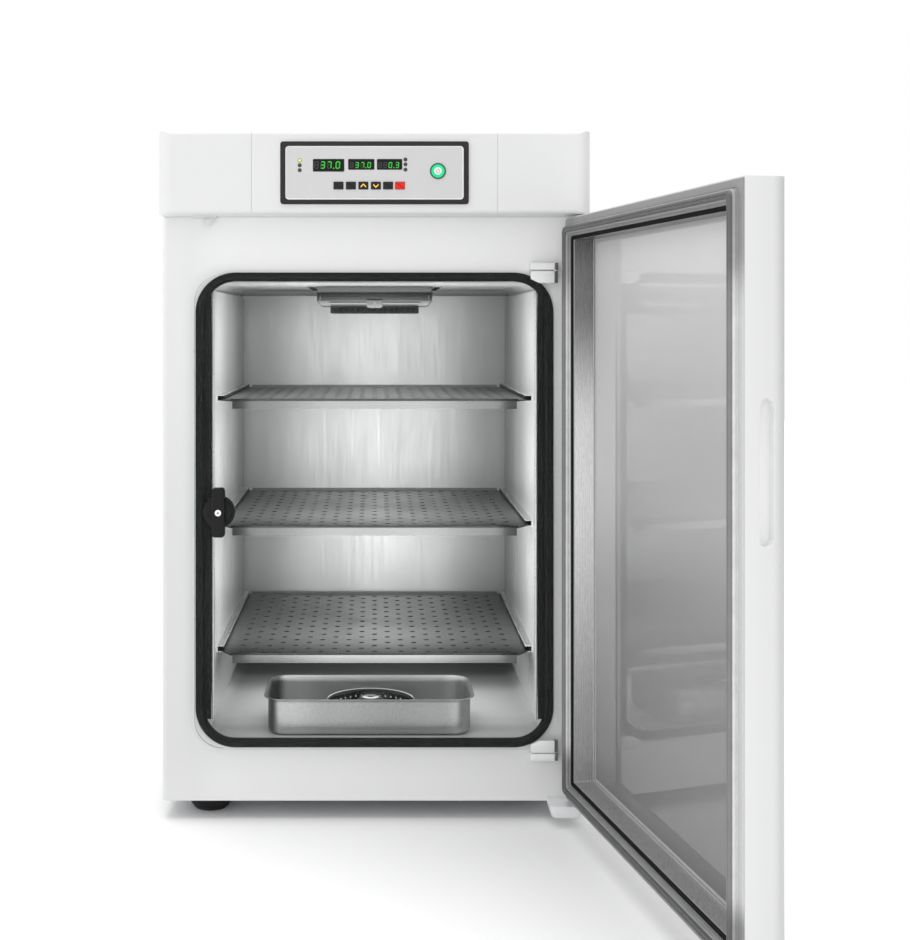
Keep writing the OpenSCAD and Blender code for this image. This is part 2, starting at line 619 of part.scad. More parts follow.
front_fascia();
left_side_panel();
right_side_panel();
rear_panel();
base_pan();
deck_plate();
cabinet_insulation();
heater_mats();
chamber_liner();
chamber_gasket();
shelf_supports();
shelf_rails();
leveling_feet();
fan_mount_tray();
fan_grille();
fan_motor();
fan_impeller();
co2_sensor();
temperature_probe();
head_center_cover();
head_left_cap();
head_right_cap();
head_rear_cover();
display_bezel();
control_panel();
display_windows();
indicator_lamps();
key_menu();
key_mode();
key_up();
key_down();
key_enter();
key_stop();
power_button_ring();
power_button_cap();
main_board();
gas_valve();
gas_tube();
gas_inlet();
power_inlet();
door_switch_base();
door_switch_lever();
hinge_bracket_upper();
hinge_bracket_lower();
door_outer_shell();
door_inner_frame();
door_gasket();
door_glass();
door_insulation();
door_bushes();
inner_door_glass();
inner_hinges();
inner_hinge_brackets();
latch_knob();
latch_cam();
shelf_top();
shelf_middle();
shelf_bottom();
water_pan();
pan_dish();
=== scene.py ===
import math

import bmesh
import bpy
import numpy as np
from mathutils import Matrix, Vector


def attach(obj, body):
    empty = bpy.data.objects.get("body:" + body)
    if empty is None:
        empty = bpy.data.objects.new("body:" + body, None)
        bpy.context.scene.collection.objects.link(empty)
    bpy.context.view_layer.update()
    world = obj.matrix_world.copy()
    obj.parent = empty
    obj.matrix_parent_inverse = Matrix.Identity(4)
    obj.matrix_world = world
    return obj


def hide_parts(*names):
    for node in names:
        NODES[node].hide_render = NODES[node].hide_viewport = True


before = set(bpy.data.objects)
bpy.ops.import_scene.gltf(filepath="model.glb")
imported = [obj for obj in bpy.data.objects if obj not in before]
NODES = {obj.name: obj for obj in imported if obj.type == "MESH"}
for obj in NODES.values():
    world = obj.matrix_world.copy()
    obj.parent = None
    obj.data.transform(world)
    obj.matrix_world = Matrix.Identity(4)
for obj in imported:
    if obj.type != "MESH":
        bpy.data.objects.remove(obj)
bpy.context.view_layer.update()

# ------------------------------------------------------------------ placing
# Shapes are written in the cabinet's own millimetres (x from its middle, y from its front face) and moved to the row frame here.
OFF = np.array([0.245, -0.063, 0.0])
PIVOT = np.array([292.0, -26.5, 0.0])
OPEN = math.radians(100)


def to_row(p):
    return np.asarray(p, float) * 0.001 + OFF


def door_row(p):
    """Closed-door millimetres to the row frame with the door at its open rest pose."""
    r = np.asarray(p, float) - PIVOT
    c, s = math.cos(OPEN), math.sin(OPEN)
    q = np.stack([r[..., 0] * c - r[..., 1] * s, r[..., 0] * s + r[..., 1] * c, r[..., 2]], -1)
    return to_row(q + PIVOT)


# ------------------------------------------------------------------ nodes for materials
def new_mat(name):
    m = bpy.data.materials.new(name)
    m.use_nodes = True
    nt = m.node_tree
    return m, nt, nt.nodes["Principled BSDF"]


def N(nt, kind, **kw):
    n = nt.nodes.new(kind)
    for k, v in kw.items():
        setattr(n, k, v)
    return n


def coords(nt, scale=(1, 1, 1), rot=(0, 0, 0), loc=(0, 0, 0)):
    tc = N(nt, "ShaderNodeTexCoord")
    mp = N(nt, "ShaderNodeMapping")
    mp.inputs["Scale"].default_value = scale
    mp.inputs["Rotation"].default_value = rot
    mp.inputs["Location"].default_value = loc
    nt.links.new(tc.outputs["Object"], mp.inputs["Vector"])
    return mp.outputs["Vector"]


def noise(nt, vec, scale, detail=2.0, rough=0.5, distortion=0.0):
    n = N(nt, "ShaderNodeTexNoise")
    nt.links.new(vec, n.inputs["Vector"])
    n.inputs["Scale"].default_value = scale
    n.inputs["Detail"].default_value = detail
    n.inputs["Roughness"].default_value = rough
    n.inputs["Distortion"].default_value = distortion
    return n.outputs["Fac"]


def voronoi(nt, vec, scale, feature="F1"):
    n = N(nt, "ShaderNodeTexVoronoi", feature=feature)
    nt.links.new(vec, n.inputs["Vector"])
    n.inputs["Scale"].default_value = scale
    return n.outputs["Distance"]


def ramp(nt, fac, stops, interp="LINEAR"):
    n = N(nt, "ShaderNodeValToRGB")
    n.color_ramp.interpolation = interp
    while len(n.color_ramp.elements) < len(stops):
        n.color_ramp.elements.new(0.5)
    for e, (p, c) in zip(n.color_ramp.elements, stops):
        e.position = p
        e.color = (*c, 1) if len(c) == 3 else c
    nt.links.new(fac, n.inputs["Fac"])
    return n.outputs["Color"]


def remap(nt, fac, a0, a1, b0, b1):
    n = N(nt, "ShaderNodeMapRange")
    nt.links.new(fac, n.inputs["Value"])
    n.inputs["From Min"].default_value = a0
    n.inputs["From Max"].default_value = a1
    n.inputs["To Min"].default_value = b0
    n.inputs["To Max"].default_value = b1
    return n.outputs["Result"]


def math_node(nt, op, a, b=None, clamp=False):
    n = N(nt, "ShaderNodeMath", operation=op, use_clamp=clamp)
    for i, v in enumerate((a, b)):
        if v is None:
            continue
        if isinstance(v, (int, float)):
            n.inputs[i].default_value = v
        else:
            nt.links.new(v, n.inputs[i])
    return n.outputs[0]


def mixc(nt, fac, a, b, mode="MIX"):
    n = N(nt, "ShaderNodeMix", data_type="RGBA", blend_type=mode)
    for sock, v in ((n.inputs[0], fac), (n.inputs[6], a), (n.inputs[7], b)):
        if isinstance(v, (int, float)):
            sock.default_value = v
        elif isinstance(v, tuple):
            sock.default_value = (*v, 1) if len(v) == 3 else v
        else:
            nt.links.new(v, sock)
    return n.outputs[2]


def bump(nt, height, strength, distance, normal=None):
    n = N(nt, "ShaderNodeBump")
    n.inputs["Strength"].default_value = strength
    n.inputs["Distance"].default_value = distance
    nt.links.new(height, n.inputs["Height"])
    if normal is not None:
        nt.links.new(normal, n.inputs["Normal"])
    return n.outputs["Normal"]


def axis_value(nt, axis):
    """Row-frame coordinate along x, y or z, in metres."""
    tc = N(nt, "ShaderNodeTexCoord")
    sp = N(nt, "ShaderNodeSeparateXYZ")
    nt.links.new(tc.outputs["Object"], sp.inputs[0])
    return sp.outputs["XYZ".index(axis)]


def edge_wear(nt, amount=0.5):
    """1 on convex edges, from the mesh's pointiness, kept faint."""
    g = N(nt, "ShaderNodeNewGeometry")
    return remap(nt, g.outputs["Pointiness"], 0.52, 0.60, 0.0, amount)


def paint(name, col, rough=0.42, var=0.02, peel=0.10, grain=1100.0, coat=0.0, spec=0.5):
    m, nt, b = new_mat(name)
    v = coords(nt)
    tone = noise(nt, v, 2.3, 3)
    fine = noise(nt, v, 340, 2)
    c = ramp(nt, tone, [(0.3, tuple(x * (1 - var) for x in col)), (0.7, col)])
    c = mixc(nt, remap(nt, fine, 0.35, 0.65, 0, 0.05), c, tuple(x * 0.9 for x in col))
    nt.links.new(c, b.inputs["Base Color"])
    nt.links.new(remap(nt, noise(nt, v, 38, 3), 0.3, 0.7, rough - 0.05, rough + 0.06), b.inputs["Roughness"])
    h = noise(nt, v, grain, 2, 0.6)
    nt.links.new(bump(nt, h, peel, 0.0002), b.inputs["Normal"])
    b.inputs["Specular IOR Level"].default_value = spec
    b.inputs["Coat Weight"].default_value = coat
    b.inputs["Coat Roughness"].default_value = 0.25
    return m


def plastic(name, col, rough=0.45, grain=1600.0, depth=0.12, var=0.05, sub=0.0, spec=0.5):
    m, nt, b = new_mat(name)
    v = coords(nt)
    c = ramp(nt, noise(nt, v, 9, 3), [(0.3, tuple(x * (1 - var) for x in col)), (0.7, col)])
    nt.links.new(c, b.inputs["Base Color"])
    nt.links.new(remap(nt, noise(nt, v, 70, 3), 0.3, 0.7, rough - 0.07, rough + 0.07), b.inputs["Roughness"])
    h = math_node(nt, "ADD", noise(nt, v, grain, 2), voronoi(nt, v, grain * 0.6))
    nt.links.new(bump(nt, h, depth, 0.00012), b.inputs["Normal"])
    b.inputs["Specular IOR Level"].default_value = spec
    b.inputs["Subsurface Weight"].default_value = sub
    return m


def steel(name, col, rough=0.3, along="Z", grain=0.16, aniso=0.5, var=0.06, lines=900.0, stain=0.04):
    """Brushed or rolled stainless sheet, its lines along one axis."""
    m, nt, b = new_mat(name)
    s = {"X": (0.012, 1, 1), "Y": (1, 0.012, 1), "Z": (1, 1, 0.012)}[along]
    v = coords(nt, s)
    u = coords(nt)
    hair = noise(nt, v, lines, 3, 0.7)
    cloud = noise(nt, u, 5, 4, 0.6)
    c = ramp(nt, hair, [(0.3, tuple(x * (1 - var) for x in col)), (0.7, col)])
    c = mixc(nt, remap(nt, cloud, 0.35, 0.7, 0, stain), c, tuple(x * 0.8 for x in col))
    nt.links.new(c, b.inputs["Base Color"])
    b.inputs["Metallic"].default_value = 1.0
    r = math_node(nt, "ADD", remap(nt, hair, 0.3, 0.7, rough - 0.05, rough + 0.07), remap(nt, cloud, 0.3, 0.7, -0.02, 0.03))
    nt.links.new(r, b.inputs["Roughness"])
    b.inputs["Anisotropic"].default_value = aniso
    nt.links.new(bump(nt, hair, grain, 0.00008), b.inputs["Normal"])
    return m


def chrome(name, col, rough=0.08, var=0.05):
    m, nt, b = new_mat(name)
    v = coords(nt)
    c = ramp(nt, noise(nt, v, 12, 4), [(0.3, tuple(x * (1 - var) for x in col)), (0.7, col)])
    nt.links.new(c, b.inputs["Base Color"])
    b.inputs["Metallic"].default_value = 1.0
    sc = noise(nt, coords(nt, (1, 0.04, 1), (0.2, 0.1, 0.6)), 1400, 3, 0.7)
    nt.links.new(remap(nt, noise(nt, v, 30, 4), 0.3, 0.7, rough * 0.6, rough * 1.6), b.inputs["Roughness"])
    nt.links.new(bump(nt, math_node(nt, "ADD", sc, noise(nt, v, 26, 2)), 0.05, 0.0002), b.inputs["Normal"])
    return m


def rubber(name, col, rough=0.6, grain=900.0, sheen=0.15, depth=0.2, spec=0.5):
    m, nt, b = new_mat(name)
    v = coords(nt)
    dust = noise(nt, v, 45, 5, 0.7)
    c = ramp(nt, dust, [(0.35, col), (0.8, tuple(min(1, x * 1.25 + 0.002) for x in col))])
    nt.links.new(c, b.inputs["Base Color"])
    nt.links.new(remap(nt, noise(nt, v, 90, 3), 0.3, 0.7, rough - 0.1, rough + 0.1), b.inputs["Roughness"])
    nt.links.new(bump(nt, noise(nt, v, grain, 3), depth, 0.00015), b.inputs["Normal"])
    b.inputs["Specular IOR Level"].default_value = spec
    b.inputs["Sheen Weight"].default_value = sheen
    b.inputs["Sheen Roughness"].default_value = 0.5
    return m


def lit(name, col, strength, base=(0.02, 0.02, 0.02), rough=0.3):
    m, nt, b = new_mat(name)
    v = coords(nt)
    c = ramp(nt, noise(nt, v, 900, 2), [(0.2, tuple(x * 0.85 for x in col)), (0.8, col)])
    nt.links.new(c, b.inputs["Emission Color"])
    b.inputs["Emission Strength"].default_value = strength
    b.inputs["Base Color"].default_value = (*base, 1)
    nt.links.new(remap(nt, noise(nt, v, 300, 2), 0.3, 0.7, rough - 0.05, rough + 0.05), b.inputs["Roughness"])
    return m


def satin(name, col, rough=0.35, metallic=0.5, spec=0.3, var=0.02):
    """Fine satin sheet without a visible grain direction."""
    m, nt, b = new_mat(name)
    v = coords(nt)
    fine = noise(nt, v, 1100, 3, 0.6)
    c = ramp(nt, fine, [(0.3, tuple(x * (1 - var) for x in col)), (0.7, col)])
    nt.links.new(c, b.inputs["Base Color"])
    b.inputs["Metallic"].default_value = metallic
    b.inputs["Specular IOR Level"].default_value = spec
    nt.links.new(remap(nt, fine, 0.3, 0.7, rough - 0.015, rough + 0.015), b.inputs["Roughness"])
    nt.links.new(bump(nt, fine, 0.02, 0.00005), b.inputs["Normal"])
    return m


M = {}
M["paint"] = paint("powder_coat_white", (0.87, 0.872, 0.876), 0.40, 0.02, 0.12)
M["shell"] = paint("powder_coat_door", (0.735, 0.737, 0.741), 0.36, 0.015, 0.10)
M["mould"] = plastic("moulded_white", (0.735, 0.737, 0.741), 0.38, 1500, 0.10, 0.015)
M["zinc"] = steel("zinc_plate", (0.62, 0.64, 0.66), 0.38, "Y", 0.1, 0.2)
M["cast_grey"] = paint("hinge_paint", (0.78, 0.79, 0.80), 0.4, 0.03, 0.15)
M["wool"] = rubber("glass_wool", (0.8, 0.72, 0.35), 0.95, 300, 0.5, 0.8)
M["silicone"] = rubber("heater_silicone", (0.6, 0.2, 0.07), 0.55, 500, 0.1)
M["liner"] = steel("stainless_liner", (0.90, 0.92, 0.91), 0.34, "Z", 0.05, 0.45, 0.03)
M["pilaster"] = steel("stainless_side", (0.76, 0.78, 0.77), 0.30, "Z", 0.10, 0.45)
M["rail"] = steel("stainless_rail", (0.72, 0.74, 0.73), 0.26, "Y", 0.10, 0.4)
M["shelf"] = steel("stainless_shelf", (0.60, 0.62, 0.61), 0.36, "X", 0.12, 0.35, 0.08)
M["tray"] = steel("fan_tray_steel", (0.20, 0.205, 0.20), 0.22, "X", 0.08, 0.3)
M["polish"] = chrome("polished_steel", (0.80, 0.81, 0.80), 0.12)
# polished steel dish coloured near black: painted dark reflection
M["dish"] = chrome("dish_steel", (0.03, 0.031, 0.033), 0.10)
M["gasket"] = rubber("black_rubber", (0.004, 0.004, 0.0045), 0.5, 700, 0.0, 0.12, 0.14)
M["foot"] = rubber("foot_rubber", (0.010, 0.010, 0.011), 0.5, 500, 0.02, 0.2, 0.25)
M["black"] = plastic("black_plastic", (0.005, 0.005, 0.0053), 0.48, 1500, 0.2, 0.1, 0.0, 0.2)
M["motor"] = steel("cast_motor", (0.3, 0.31, 0.33), 0.45, "Z", 0.2, 0.1)
M["fan"] = steel("fan_alloy", (0.75, 0.76, 0.78), 0.35, "X", 0.1, 0.2)
M["sensor"] = plastic("sensor_cap", (0.8, 0.81, 0.82), 0.55, 700, 0.4)
M["bezel"] = plastic("bezel_black", (0.022, 0.017, 0.0185), 0.50, 1800, 0.08, 0.05, 0.0, 0.3)
M["panel"] = plastic("panel_grey", (0.61, 0.61, 0.61), 0.42, 2200, 0.10, 0.02)
M["window"] = plastic("display_window", (0.003, 0.004, 0.004), 0.14, 2500, 0.02, 0.1, 0.0, 0.2)
M["key"] = plastic("key_black", (0.016, 0.016, 0.018), 0.38, 2200, 0.10, 0.05, 0.0, 0.25)
M["key_red"] = plastic("key_red", (0.74, 0.026, 0.014), 0.38, 2200, 0.06, 0.05, 0.0, 0.2)
M["ring"] = plastic("button_ring", (0.05, 0.075, 0.07), 0.35, 2000, 0.08)
M["pcb"] = plastic("circuit_board", (0.02, 0.16, 0.07), 0.35, 900, 0.15, 0.3)
M["brass"] = chrome("brass", (0.75, 0.55, 0.24), 0.22)
M["tube"] = rubber("silicone_tube", (0.75, 0.78, 0.8), 0.35, 600, 0.1)
M["switch"] = plastic("switch_grey", (0.72, 0.73, 0.74), 0.45, 1500, 0.15)
M["frame"] = plastic("door_frame_grey", (0.56, 0.562, 0.566), 0.36, 1500, 0.015, 0.02)
M["dgasket"] = rubber("door_gasket_grey", (0.175, 0.177, 0.18), 0.5, 600, 0.05, 0.12)
M["nylon"] = plastic("nylon", (0.85, 0.85, 0.8), 0.4, 1200, 0.1)
M["hinge"] = plastic("hinge_white", (0.84, 0.845, 0.85), 0.34, 1500, 0.1, 0.03)
M["knob"] = plastic("knob_black", (0.006, 0.006, 0.007), 0.40, 1400, 0.18, 0.1, 0.0, 0.22)


def tinted_glass():
    """Clear tempered glass, thin enough that it is drawn as a faint coated film with a green edge."""
    m, nt, b = new_mat("clear_glass")
    v = coords(nt)
    smear = noise(nt, v, 7, 5, 0.65, 0.4)
    nt.links.new(ramp(nt, smear, [(0.3, (0.80, 0.88, 0.86)), (0.8, (0.90, 0.95, 0.94))]), b.inputs["Base Color"])
    nt.links.new(remap(nt, smear, 0.45, 0.8, 0.015, 0.06), b.inputs["Roughness"])
    b.inputs["IOR"].default_value = 1.5
    fr = N(nt, "ShaderNodeFresnel")
    fr.inputs["IOR"].default_value = 1.45
    nt.links.new(math_node(nt, "ADD", math_node(nt, "MULTIPLY", fr.outputs[0], 0.12), remap(nt, smear, 0.4, 0.8, 0.001, 0.004), True), b.inputs["Alpha"])
    return m


def painted_reflection_glass():
    """Grey glass over a pale backing, with a painted reflection: its colour is light at the top and falls off
    downwards; a faint real reflection lies on top.
    """
    m, nt, b = new_mat("grey_painted_reflection_glass")
    v = coords(nt)
    film = noise(nt, v, 4, 5, 0.6, 0.6)
    # painted reflection: colour light at the top, darker towards the bottom
    tone = ramp(nt, remap(nt, axis_value(nt, "Z"), 0.04, 0.88, 0, 1), [(0.0, (0.19, 0.19, 0.19)), (0.35, (0.28, 0.28, 0.28)), (0.6, (0.46, 0.46, 0.46)), (1.0, (0.70, 0.70, 0.70))], "EASE")
    nt.links.new(mixc(nt, remap(nt, film, 0.3, 0.75, 0, 0.08), tone, (0.5, 0.5, 0.5)), b.inputs["Base Color"])
    nt.links.new(remap(nt, film, 0.3, 0.8, 0.015, 0.035), b.inputs["Roughness"])
    b.inputs["IOR"].default_value = 1.40
    b.inputs["Specular IOR Level"].default_value = 0.42
    nt.links.new(bump(nt, noise(nt, v, 3.5, 1), 0.02, 0.001), b.inputs["Normal"])
    return m


M["glass"] = tinted_glass()
M["mirror"] = painted_reflection_glass()
M["green"] = lit("digit_green", (0.01, 0.80, 0.012), 1.0, (0.005, 0.06, 0.005))
M["green_dim"] = plastic("digit_unlit", (0.035, 0.04, 0.036), 0.5, 1500, 0.05)
M["lamp_on"] = lit("lamp_yellow", (0.9, 0.86, 0.16), 0.85, (0.3, 0.28, 0.05))
M["lamp_off"] = plastic("lamp_dark", (0.05, 0.055, 0.05), 0.2, 900, 0.05)
M["amber"] = lit("chevron_amber", (1.0, 0.52, 0.03), 1.0, (0.7, 0.35, 0.02))
M["ring_green"] = lit("power_green", (0.0, 0.80, 0.30), 0.9, (0.0, 0.12, 0.04))
M["cap_white"] = plastic("power_white", (0.85, 0.86, 0.86), 0.35, 1800, 0.05)
M["glyph"] = plastic("glyph_grey", (0.30, 0.33, 0.32), 0.5, 1800, 0.05)
M["strip_black"] = plastic("edge_strip_black", (0.014, 0.014, 0.014), 0.8, 900, 0.05, 0.1, 0.0, 0.05)
M["trim_edge"] = plastic("trim_edge_grey", (0.50, 0.503, 0.506), 0.35, 1500, 0.05)
# grip recess faces lighter than the door shell: painted light in place of the recess's shade
M["grip"] = paint("grip_recess_painted_light", (0.87, 0.872, 0.875), 0.45, 0.01, 0.05)
M["edge_white"] = plastic("edge_white", (0.88, 0.89, 0.9), 0.35, 1500, 0.05)

M["glass_edge"] = plastic("glass_ground_edge", (0.62, 0.67, 0.66), 0.3, 900, 0.1, 0.05)


def painted_reflection_ramp(name, base, axis, stops, rough=0.3, along="Z", aniso=0.4, grain=0.1, metallic=1.0, span=(0.0, 1.0)):
    """Sheet with a painted reflection: its base colour is multiplied by a dark-to-light ramp along one axis, standing
    in for what a brushed sheet shows under broad lights.
    """
    m = base(name)
    nt = m.node_tree
    b = nt.nodes["Principled BSDF"]
    old = b.inputs["Base Color"].links[0].from_socket
    fac = remap(nt, axis_value(nt, axis), span[0], span[1], 0, 1)
    nt.links.new(mixc(nt, 1.0, old, ramp(nt, fac, stops, "EASE"), "MULTIPLY"), b.inputs["Base Color"])
    return m


def g(v):
    return (v, v, v)


# recess trim: painted reflection, light at mid height and dark towards the top and bottom
M["trim"] = painted_reflection_ramp("recess_trim_steel", lambda n: steel(n, (0.97, 0.97, 0.97), 0.26, "Z", 0.015, 0.3, 0.02), "Z",
                   [(0.0, g(0.42)), (0.12, g(0.56)), (0.5, g(1.0)), (0.62, g(0.97)), (0.86, g(0.23)), (1.0, g(0.12))], span=(0.03, 0.88))
M["pan"] = satin("pan_steel", (0.41, 0.416, 0.413), 0.28, 0.55, 0.5)
M["hinge_dark"] = plastic("hinge_barrel", (0.13, 0.13, 0.135), 0.35, 1500, 0.1, 0.1)
# hole walls and hole collars in near black: painted shade, so the perforations read dark
M["hole"] = plastic("hole_edge_painted_shade", (0.035, 0.036, 0.036), 0.5, 900, 0.05, 0.1, 0.0, 0.1)

def by_axis(m, axis, span, stops, second=None):
    """Multiplies a material's base colour by a ramp along one axis, and by a second one if given; the ramps made with
    it here are painted shade, painted highlights and painted reflections.
    """
    nt = m.node_tree
    b = nt.nodes["Principled BSDF"]
    for ax, sp, st in [(axis, span, stops)] + ([second] if second else []):
        old = b.inputs["Base Color"].links[0].from_socket
        fac = remap(nt, axis_value(nt, ax), sp[0], sp[1], 0, 1)
        nt.links.new(mixc(nt, 1.0, old, ramp(nt, fac, [(p, g(v)) for p, v in st], "EASE"), "MULTIPLY"), b.inputs["Base Color"])
    return m


# back wall: painted reflection, a lighter band down the middle and darker towards the side corners
M["liner_back"] = by_axis(steel("stainless_back", (0.90, 0.915, 0.91), 0.52, "Z", 0.08, 0.4, 0.03), "X", (0.0, 0.49), [(0.0, 0.33), (0.06, 0.35), (0.32, 0.66), (0.5, 0.78), (0.66, 0.70), (0.94, 0.35), (1.0, 0.33)])
# chamber floor: painted shade, lighter in the middle, darker at the front edge and under the shelves towards the rear
M["liner_floor"] = by_axis(satin("stainless_floor", (0.92, 0.935, 0.93), 0.45, 0.1, 0.12, 0.01), "Y", (-0.06, 0.47), [(0.0, 0.5), (0.113, 0.62), (0.2, 0.9), (0.28, 1.0), (0.52, 1.0), (0.70, 0.62), (0.82, 0.26), (1.0, 0.2)])
# ceiling: painted shade, a little darker in the middle, darker at the front and towards the rear
M["liner_ceiling"] = by_axis(steel("stainless_ceiling", (0.93, 0.95, 0.945), 0.3, "Y", 0.02, 0.3, 0.02), "X", (0.0, 0.49), [(0.0, 1.0), (0.2, 1.0), (0.45, 0.85), (0.8, 0.9), (1.0, 1.0)], ("Y", (-0.06, 0.45), [(0.0, 0.60), (0.12, 0.85), (0.35, 1.0), (1.0, 0.72)]))
# side walls: painted shade, darker towards the rear
M["pilaster"] = by_axis(steel("stainless_side", (0.93, 0.945, 0.94), 0.30, "Z", 0.07, 0.4, 0.03), "Y", (-0.05, 0.45), [(0.0, 1.0), (0.12, 1.0), (0.5, 0.75), (0.85, 0.45), (1.0, 0.38)])
# shelves: painted reflection and shade, near black at the front edge, lightest a little way back, darker towards the
# rear
M["shelf"] = by_axis(steel("stainless_shelf", (0.43, 0.44, 0.436), 0.34, "X", 0.05, 0.35, 0.03, 1600), "Y", (-0.05, 0.47),
                     [(0.0, 0.04), (0.06, 0.07), (0.085, 0.2), (0.137, 0.52), (0.19, 0.85), (0.273, 1.1), (0.36, 1.08), (0.448, 0.9), (0.542, 0.79), (0.64, 0.55), (0.74, 0.39), (0.846, 0.29), (1.0, 0.25)])

def less_metal(m, k):
    m.node_tree.nodes["Principled BSDF"].inputs["Metallic"].default_value = k
    return m


less_metal(M["liner_floor"], 0.1).node_tree.nodes["Principled BSDF"].inputs["Specular IOR Level"].default_value = 0.12
less_metal(M["liner_ceiling"], 0.1).node_tree.nodes["Principled BSDF"].inputs["Specular IOR Level"].default_value = 0.08
less_metal(M["pilaster"], 0.3)
less_metal(M["liner"], 0.3)
less_metal(M["pan"], 0.55)
# pan: painted highlights as bright bands near both ends, painted shade at the very ends
by_axis(M["pan"], "X", (0.08, 0.394), [(0.0, 0.12), (0.04, 0.2), (0.08, 1.3), (0.13, 1.3), (0.3, 1.0), (0.62, 0.85), (0.85, 1.0), (0.92, 1.35), (0.96, 1.1), (1.0, 0.2)])
less_metal(M["trim"], 0.55)
less_metal(M["shelf"], 0.85)
# shelf front lips: the dark base colour and the ramps are painted shade and reflection, lighter in the middle and on
# the lower shelves, darker at the ends
M["lip"] = by_axis(satin("shelf_lip_steel", (0.118, 0.120, 0.119), 0.4, 0.1, 0.15), "X", (0.033, 0.457), [(0.0, 0.28), (0.1, 0.45), (0.38, 1.0), (0.65, 1.05), (0.9, 0.55), (1.0, 0.45)], ("Z", (0.2, 0.62), [(0.0, 1.9), (0.15, 1.8), (0.4, 1.0), (1.0, 0.95)]))
less_metal(M["lip"], 0.15).node_tree.nodes["Principled BSDF"].inputs["Specular IOR Level"].default_value = 0.2
M["dgasket_base"] = rubber("door_gasket_foot", (0.60, 0.602, 0.606), 0.45, 600, 0.1, 0.12)
# door frame and seals: painted shade, darker along the top and bottom
for k in ("frame", "dgasket", "dgasket_base"):
    by_axis(M[k], "Z", (0.0, 0.92), [(0.0, 0.40), (0.10, 0.45), (0.14, 1.0), (0.80, 1.0), (0.875, 0.52), (1.0, 0.46)])
# body paint: painted shade, slightly darker low down and on the left side, lighter at the top
by_axis(M["paint"], "Z", (0.03, 0.88), [(0.0, 0.90), (0.1, 0.86), (0.4, 0.88), (0.85, 0.97), (1.0, 1.02)], ("X", (-0.065, 0.5), [(0.0, 0.88), (0.06, 0.90), (0.16, 0.98), (1.0, 1.0)]))
# door shell: painted shade, darker towards its right-hand edge as seen from the front
by_axis(M["shell"], "X", (0.628, 0.676), [(0.0, 0.97), (0.6, 0.93), (0.85, 0.78), (1.0, 0.72)])

# fan tray front: painted reflection, a lighter band in the middle and darker towards the ends
M["tray_dark"] = by_axis(steel("fan_tray_dark", (0.013, 0.0135, 0.0132), 0.35, "X", 0.04, 0.3, 0.03), "X", (0.15, 0.34), [(0.0, 0.35), (0.15, 0.7), (0.5, 1.4), (0.85, 0.7), (1.0, 0.35)])
less_metal(M["tray_dark"], 0.3)
M["tray_lip"] = less_metal(steel("fan_tray_lip", (0.17, 0.173, 0.172), 0.35, "X", 0.04, 0.3, 0.03), 0.3)
# rear cove: painted shade, darker than the ceiling and darkest at its lower edge
M["cove"] = by_axis(satin("rear_cove_painted_shade", (0.50, 0.508, 0.505), 0.45, 0.1, 0.12), "Z", (0.7745, 0.783), [(0.0, 0.72), (1.0, 1.25)])
M["tray_flange"] = satin("fan_tray_flange", (0.115, 0.117, 0.116), 0.45, 0.1, 0.12)
M["tray_screw"] = steel("tray_screw", (0.18, 0.18, 0.18), 0.4, "X", 0.05, 0.1)
# near black for the louvres, and painted shade on the backing plate behind them
M["pitch"] = plastic("louvre_black_and_backing_shade", (0.004, 0.004, 0.004), 0.6, 900, 0.1, 0.1, 0.0, 0.1)
M["rail_edge"] = less_metal(steel("rail_edge_steel", (0.80, 0.81, 0.805), 0.25, "Y", 0.04, 0.3, 0.03), 0.4)
# near-black channel faces of the rails: painted shade
M["rail_dark"] = satin("rail_channel_painted_shade", (0.02, 0.0205, 0.02), 0.45, 0.1, 0.12)
# near-black shelf edge bead and side strips: painted shade
M["bead_dark"] = satin("shelf_bead_painted_shade", (0.018, 0.0185, 0.018), 0.45, 0.1, 0.10)

CAD_LOOK = {
    "front_fascia": "paint", "left_side_panel": "paint", "right_side_panel": "paint", "rear_panel": "paint",
    "base_pan": "zinc", "deck_plate": "zinc", "cabinet_insulation": "wool", "heater_mats": "silicone",
    "chamber_liner": "liner", "chamber_gasket": "gasket", "shelf_supports": "pilaster", "shelf_rails": "rail",
    "leveling_feet": "foot", "fan_mount_tray": "tray", "fan_grille": "black", "fan_motor": "motor", "fan_impeller": "fan",
    "co2_sensor": "sensor", "temperature_probe": "polish", "head_center_cover": "mould", "head_left_cap": "mould",
    "head_right_cap": "mould", "head_rear_cover": "paint", "display_bezel": "bezel", "control_panel": "panel",
    "display_windows": "window", "indicator_lamps": "lamp_off", "key_menu": "key", "key_mode": "key", "key_up": "key",
    "key_down": "key", "key_enter": "key", "key_stop": "key_red", "power_button_ring": "ring", "power_button_cap": "ring_green",
    "main_board": "pcb", "gas_valve": "brass", "gas_tube": "tube", "gas_inlet": "brass", "power_inlet": "black",
    "door_switch_base": "switch", "door_switch_lever": "mould", "hinge_bracket_upper": "zinc", "hinge_bracket_lower": "cast_grey",
    "door_outer_shell": "shell", "door_inner_frame": "frame", "door_gasket": "dgasket", "door_glass": "mirror",
    "door_insulation": "wool", "door_bushes": "nylon", "inner_door_glass": "glass", "inner_hinges": "hinge",
    "inner_hinge_brackets": "hinge", "latch_knob": "knob", "latch_cam": "polish", "shelf_top": "shelf",
    "shelf_middle": "shelf", "shelf_bottom": "shelf", "water_pan": "polish", "pan_dish": "dish",
}


def smooth_by_angle(me, degrees=35):
    bm = bmesh.new()
    bm.from_mesh(me)
    lim = math.radians(degrees)
    for f in bm.faces:
        f.smooth = True
    for e in bm.edges:
        e.smooth = len(e.link_faces) == 2 and e.calc_face_angle(0.0) < lim
    bm.to_mesh(me)
    bm.free()


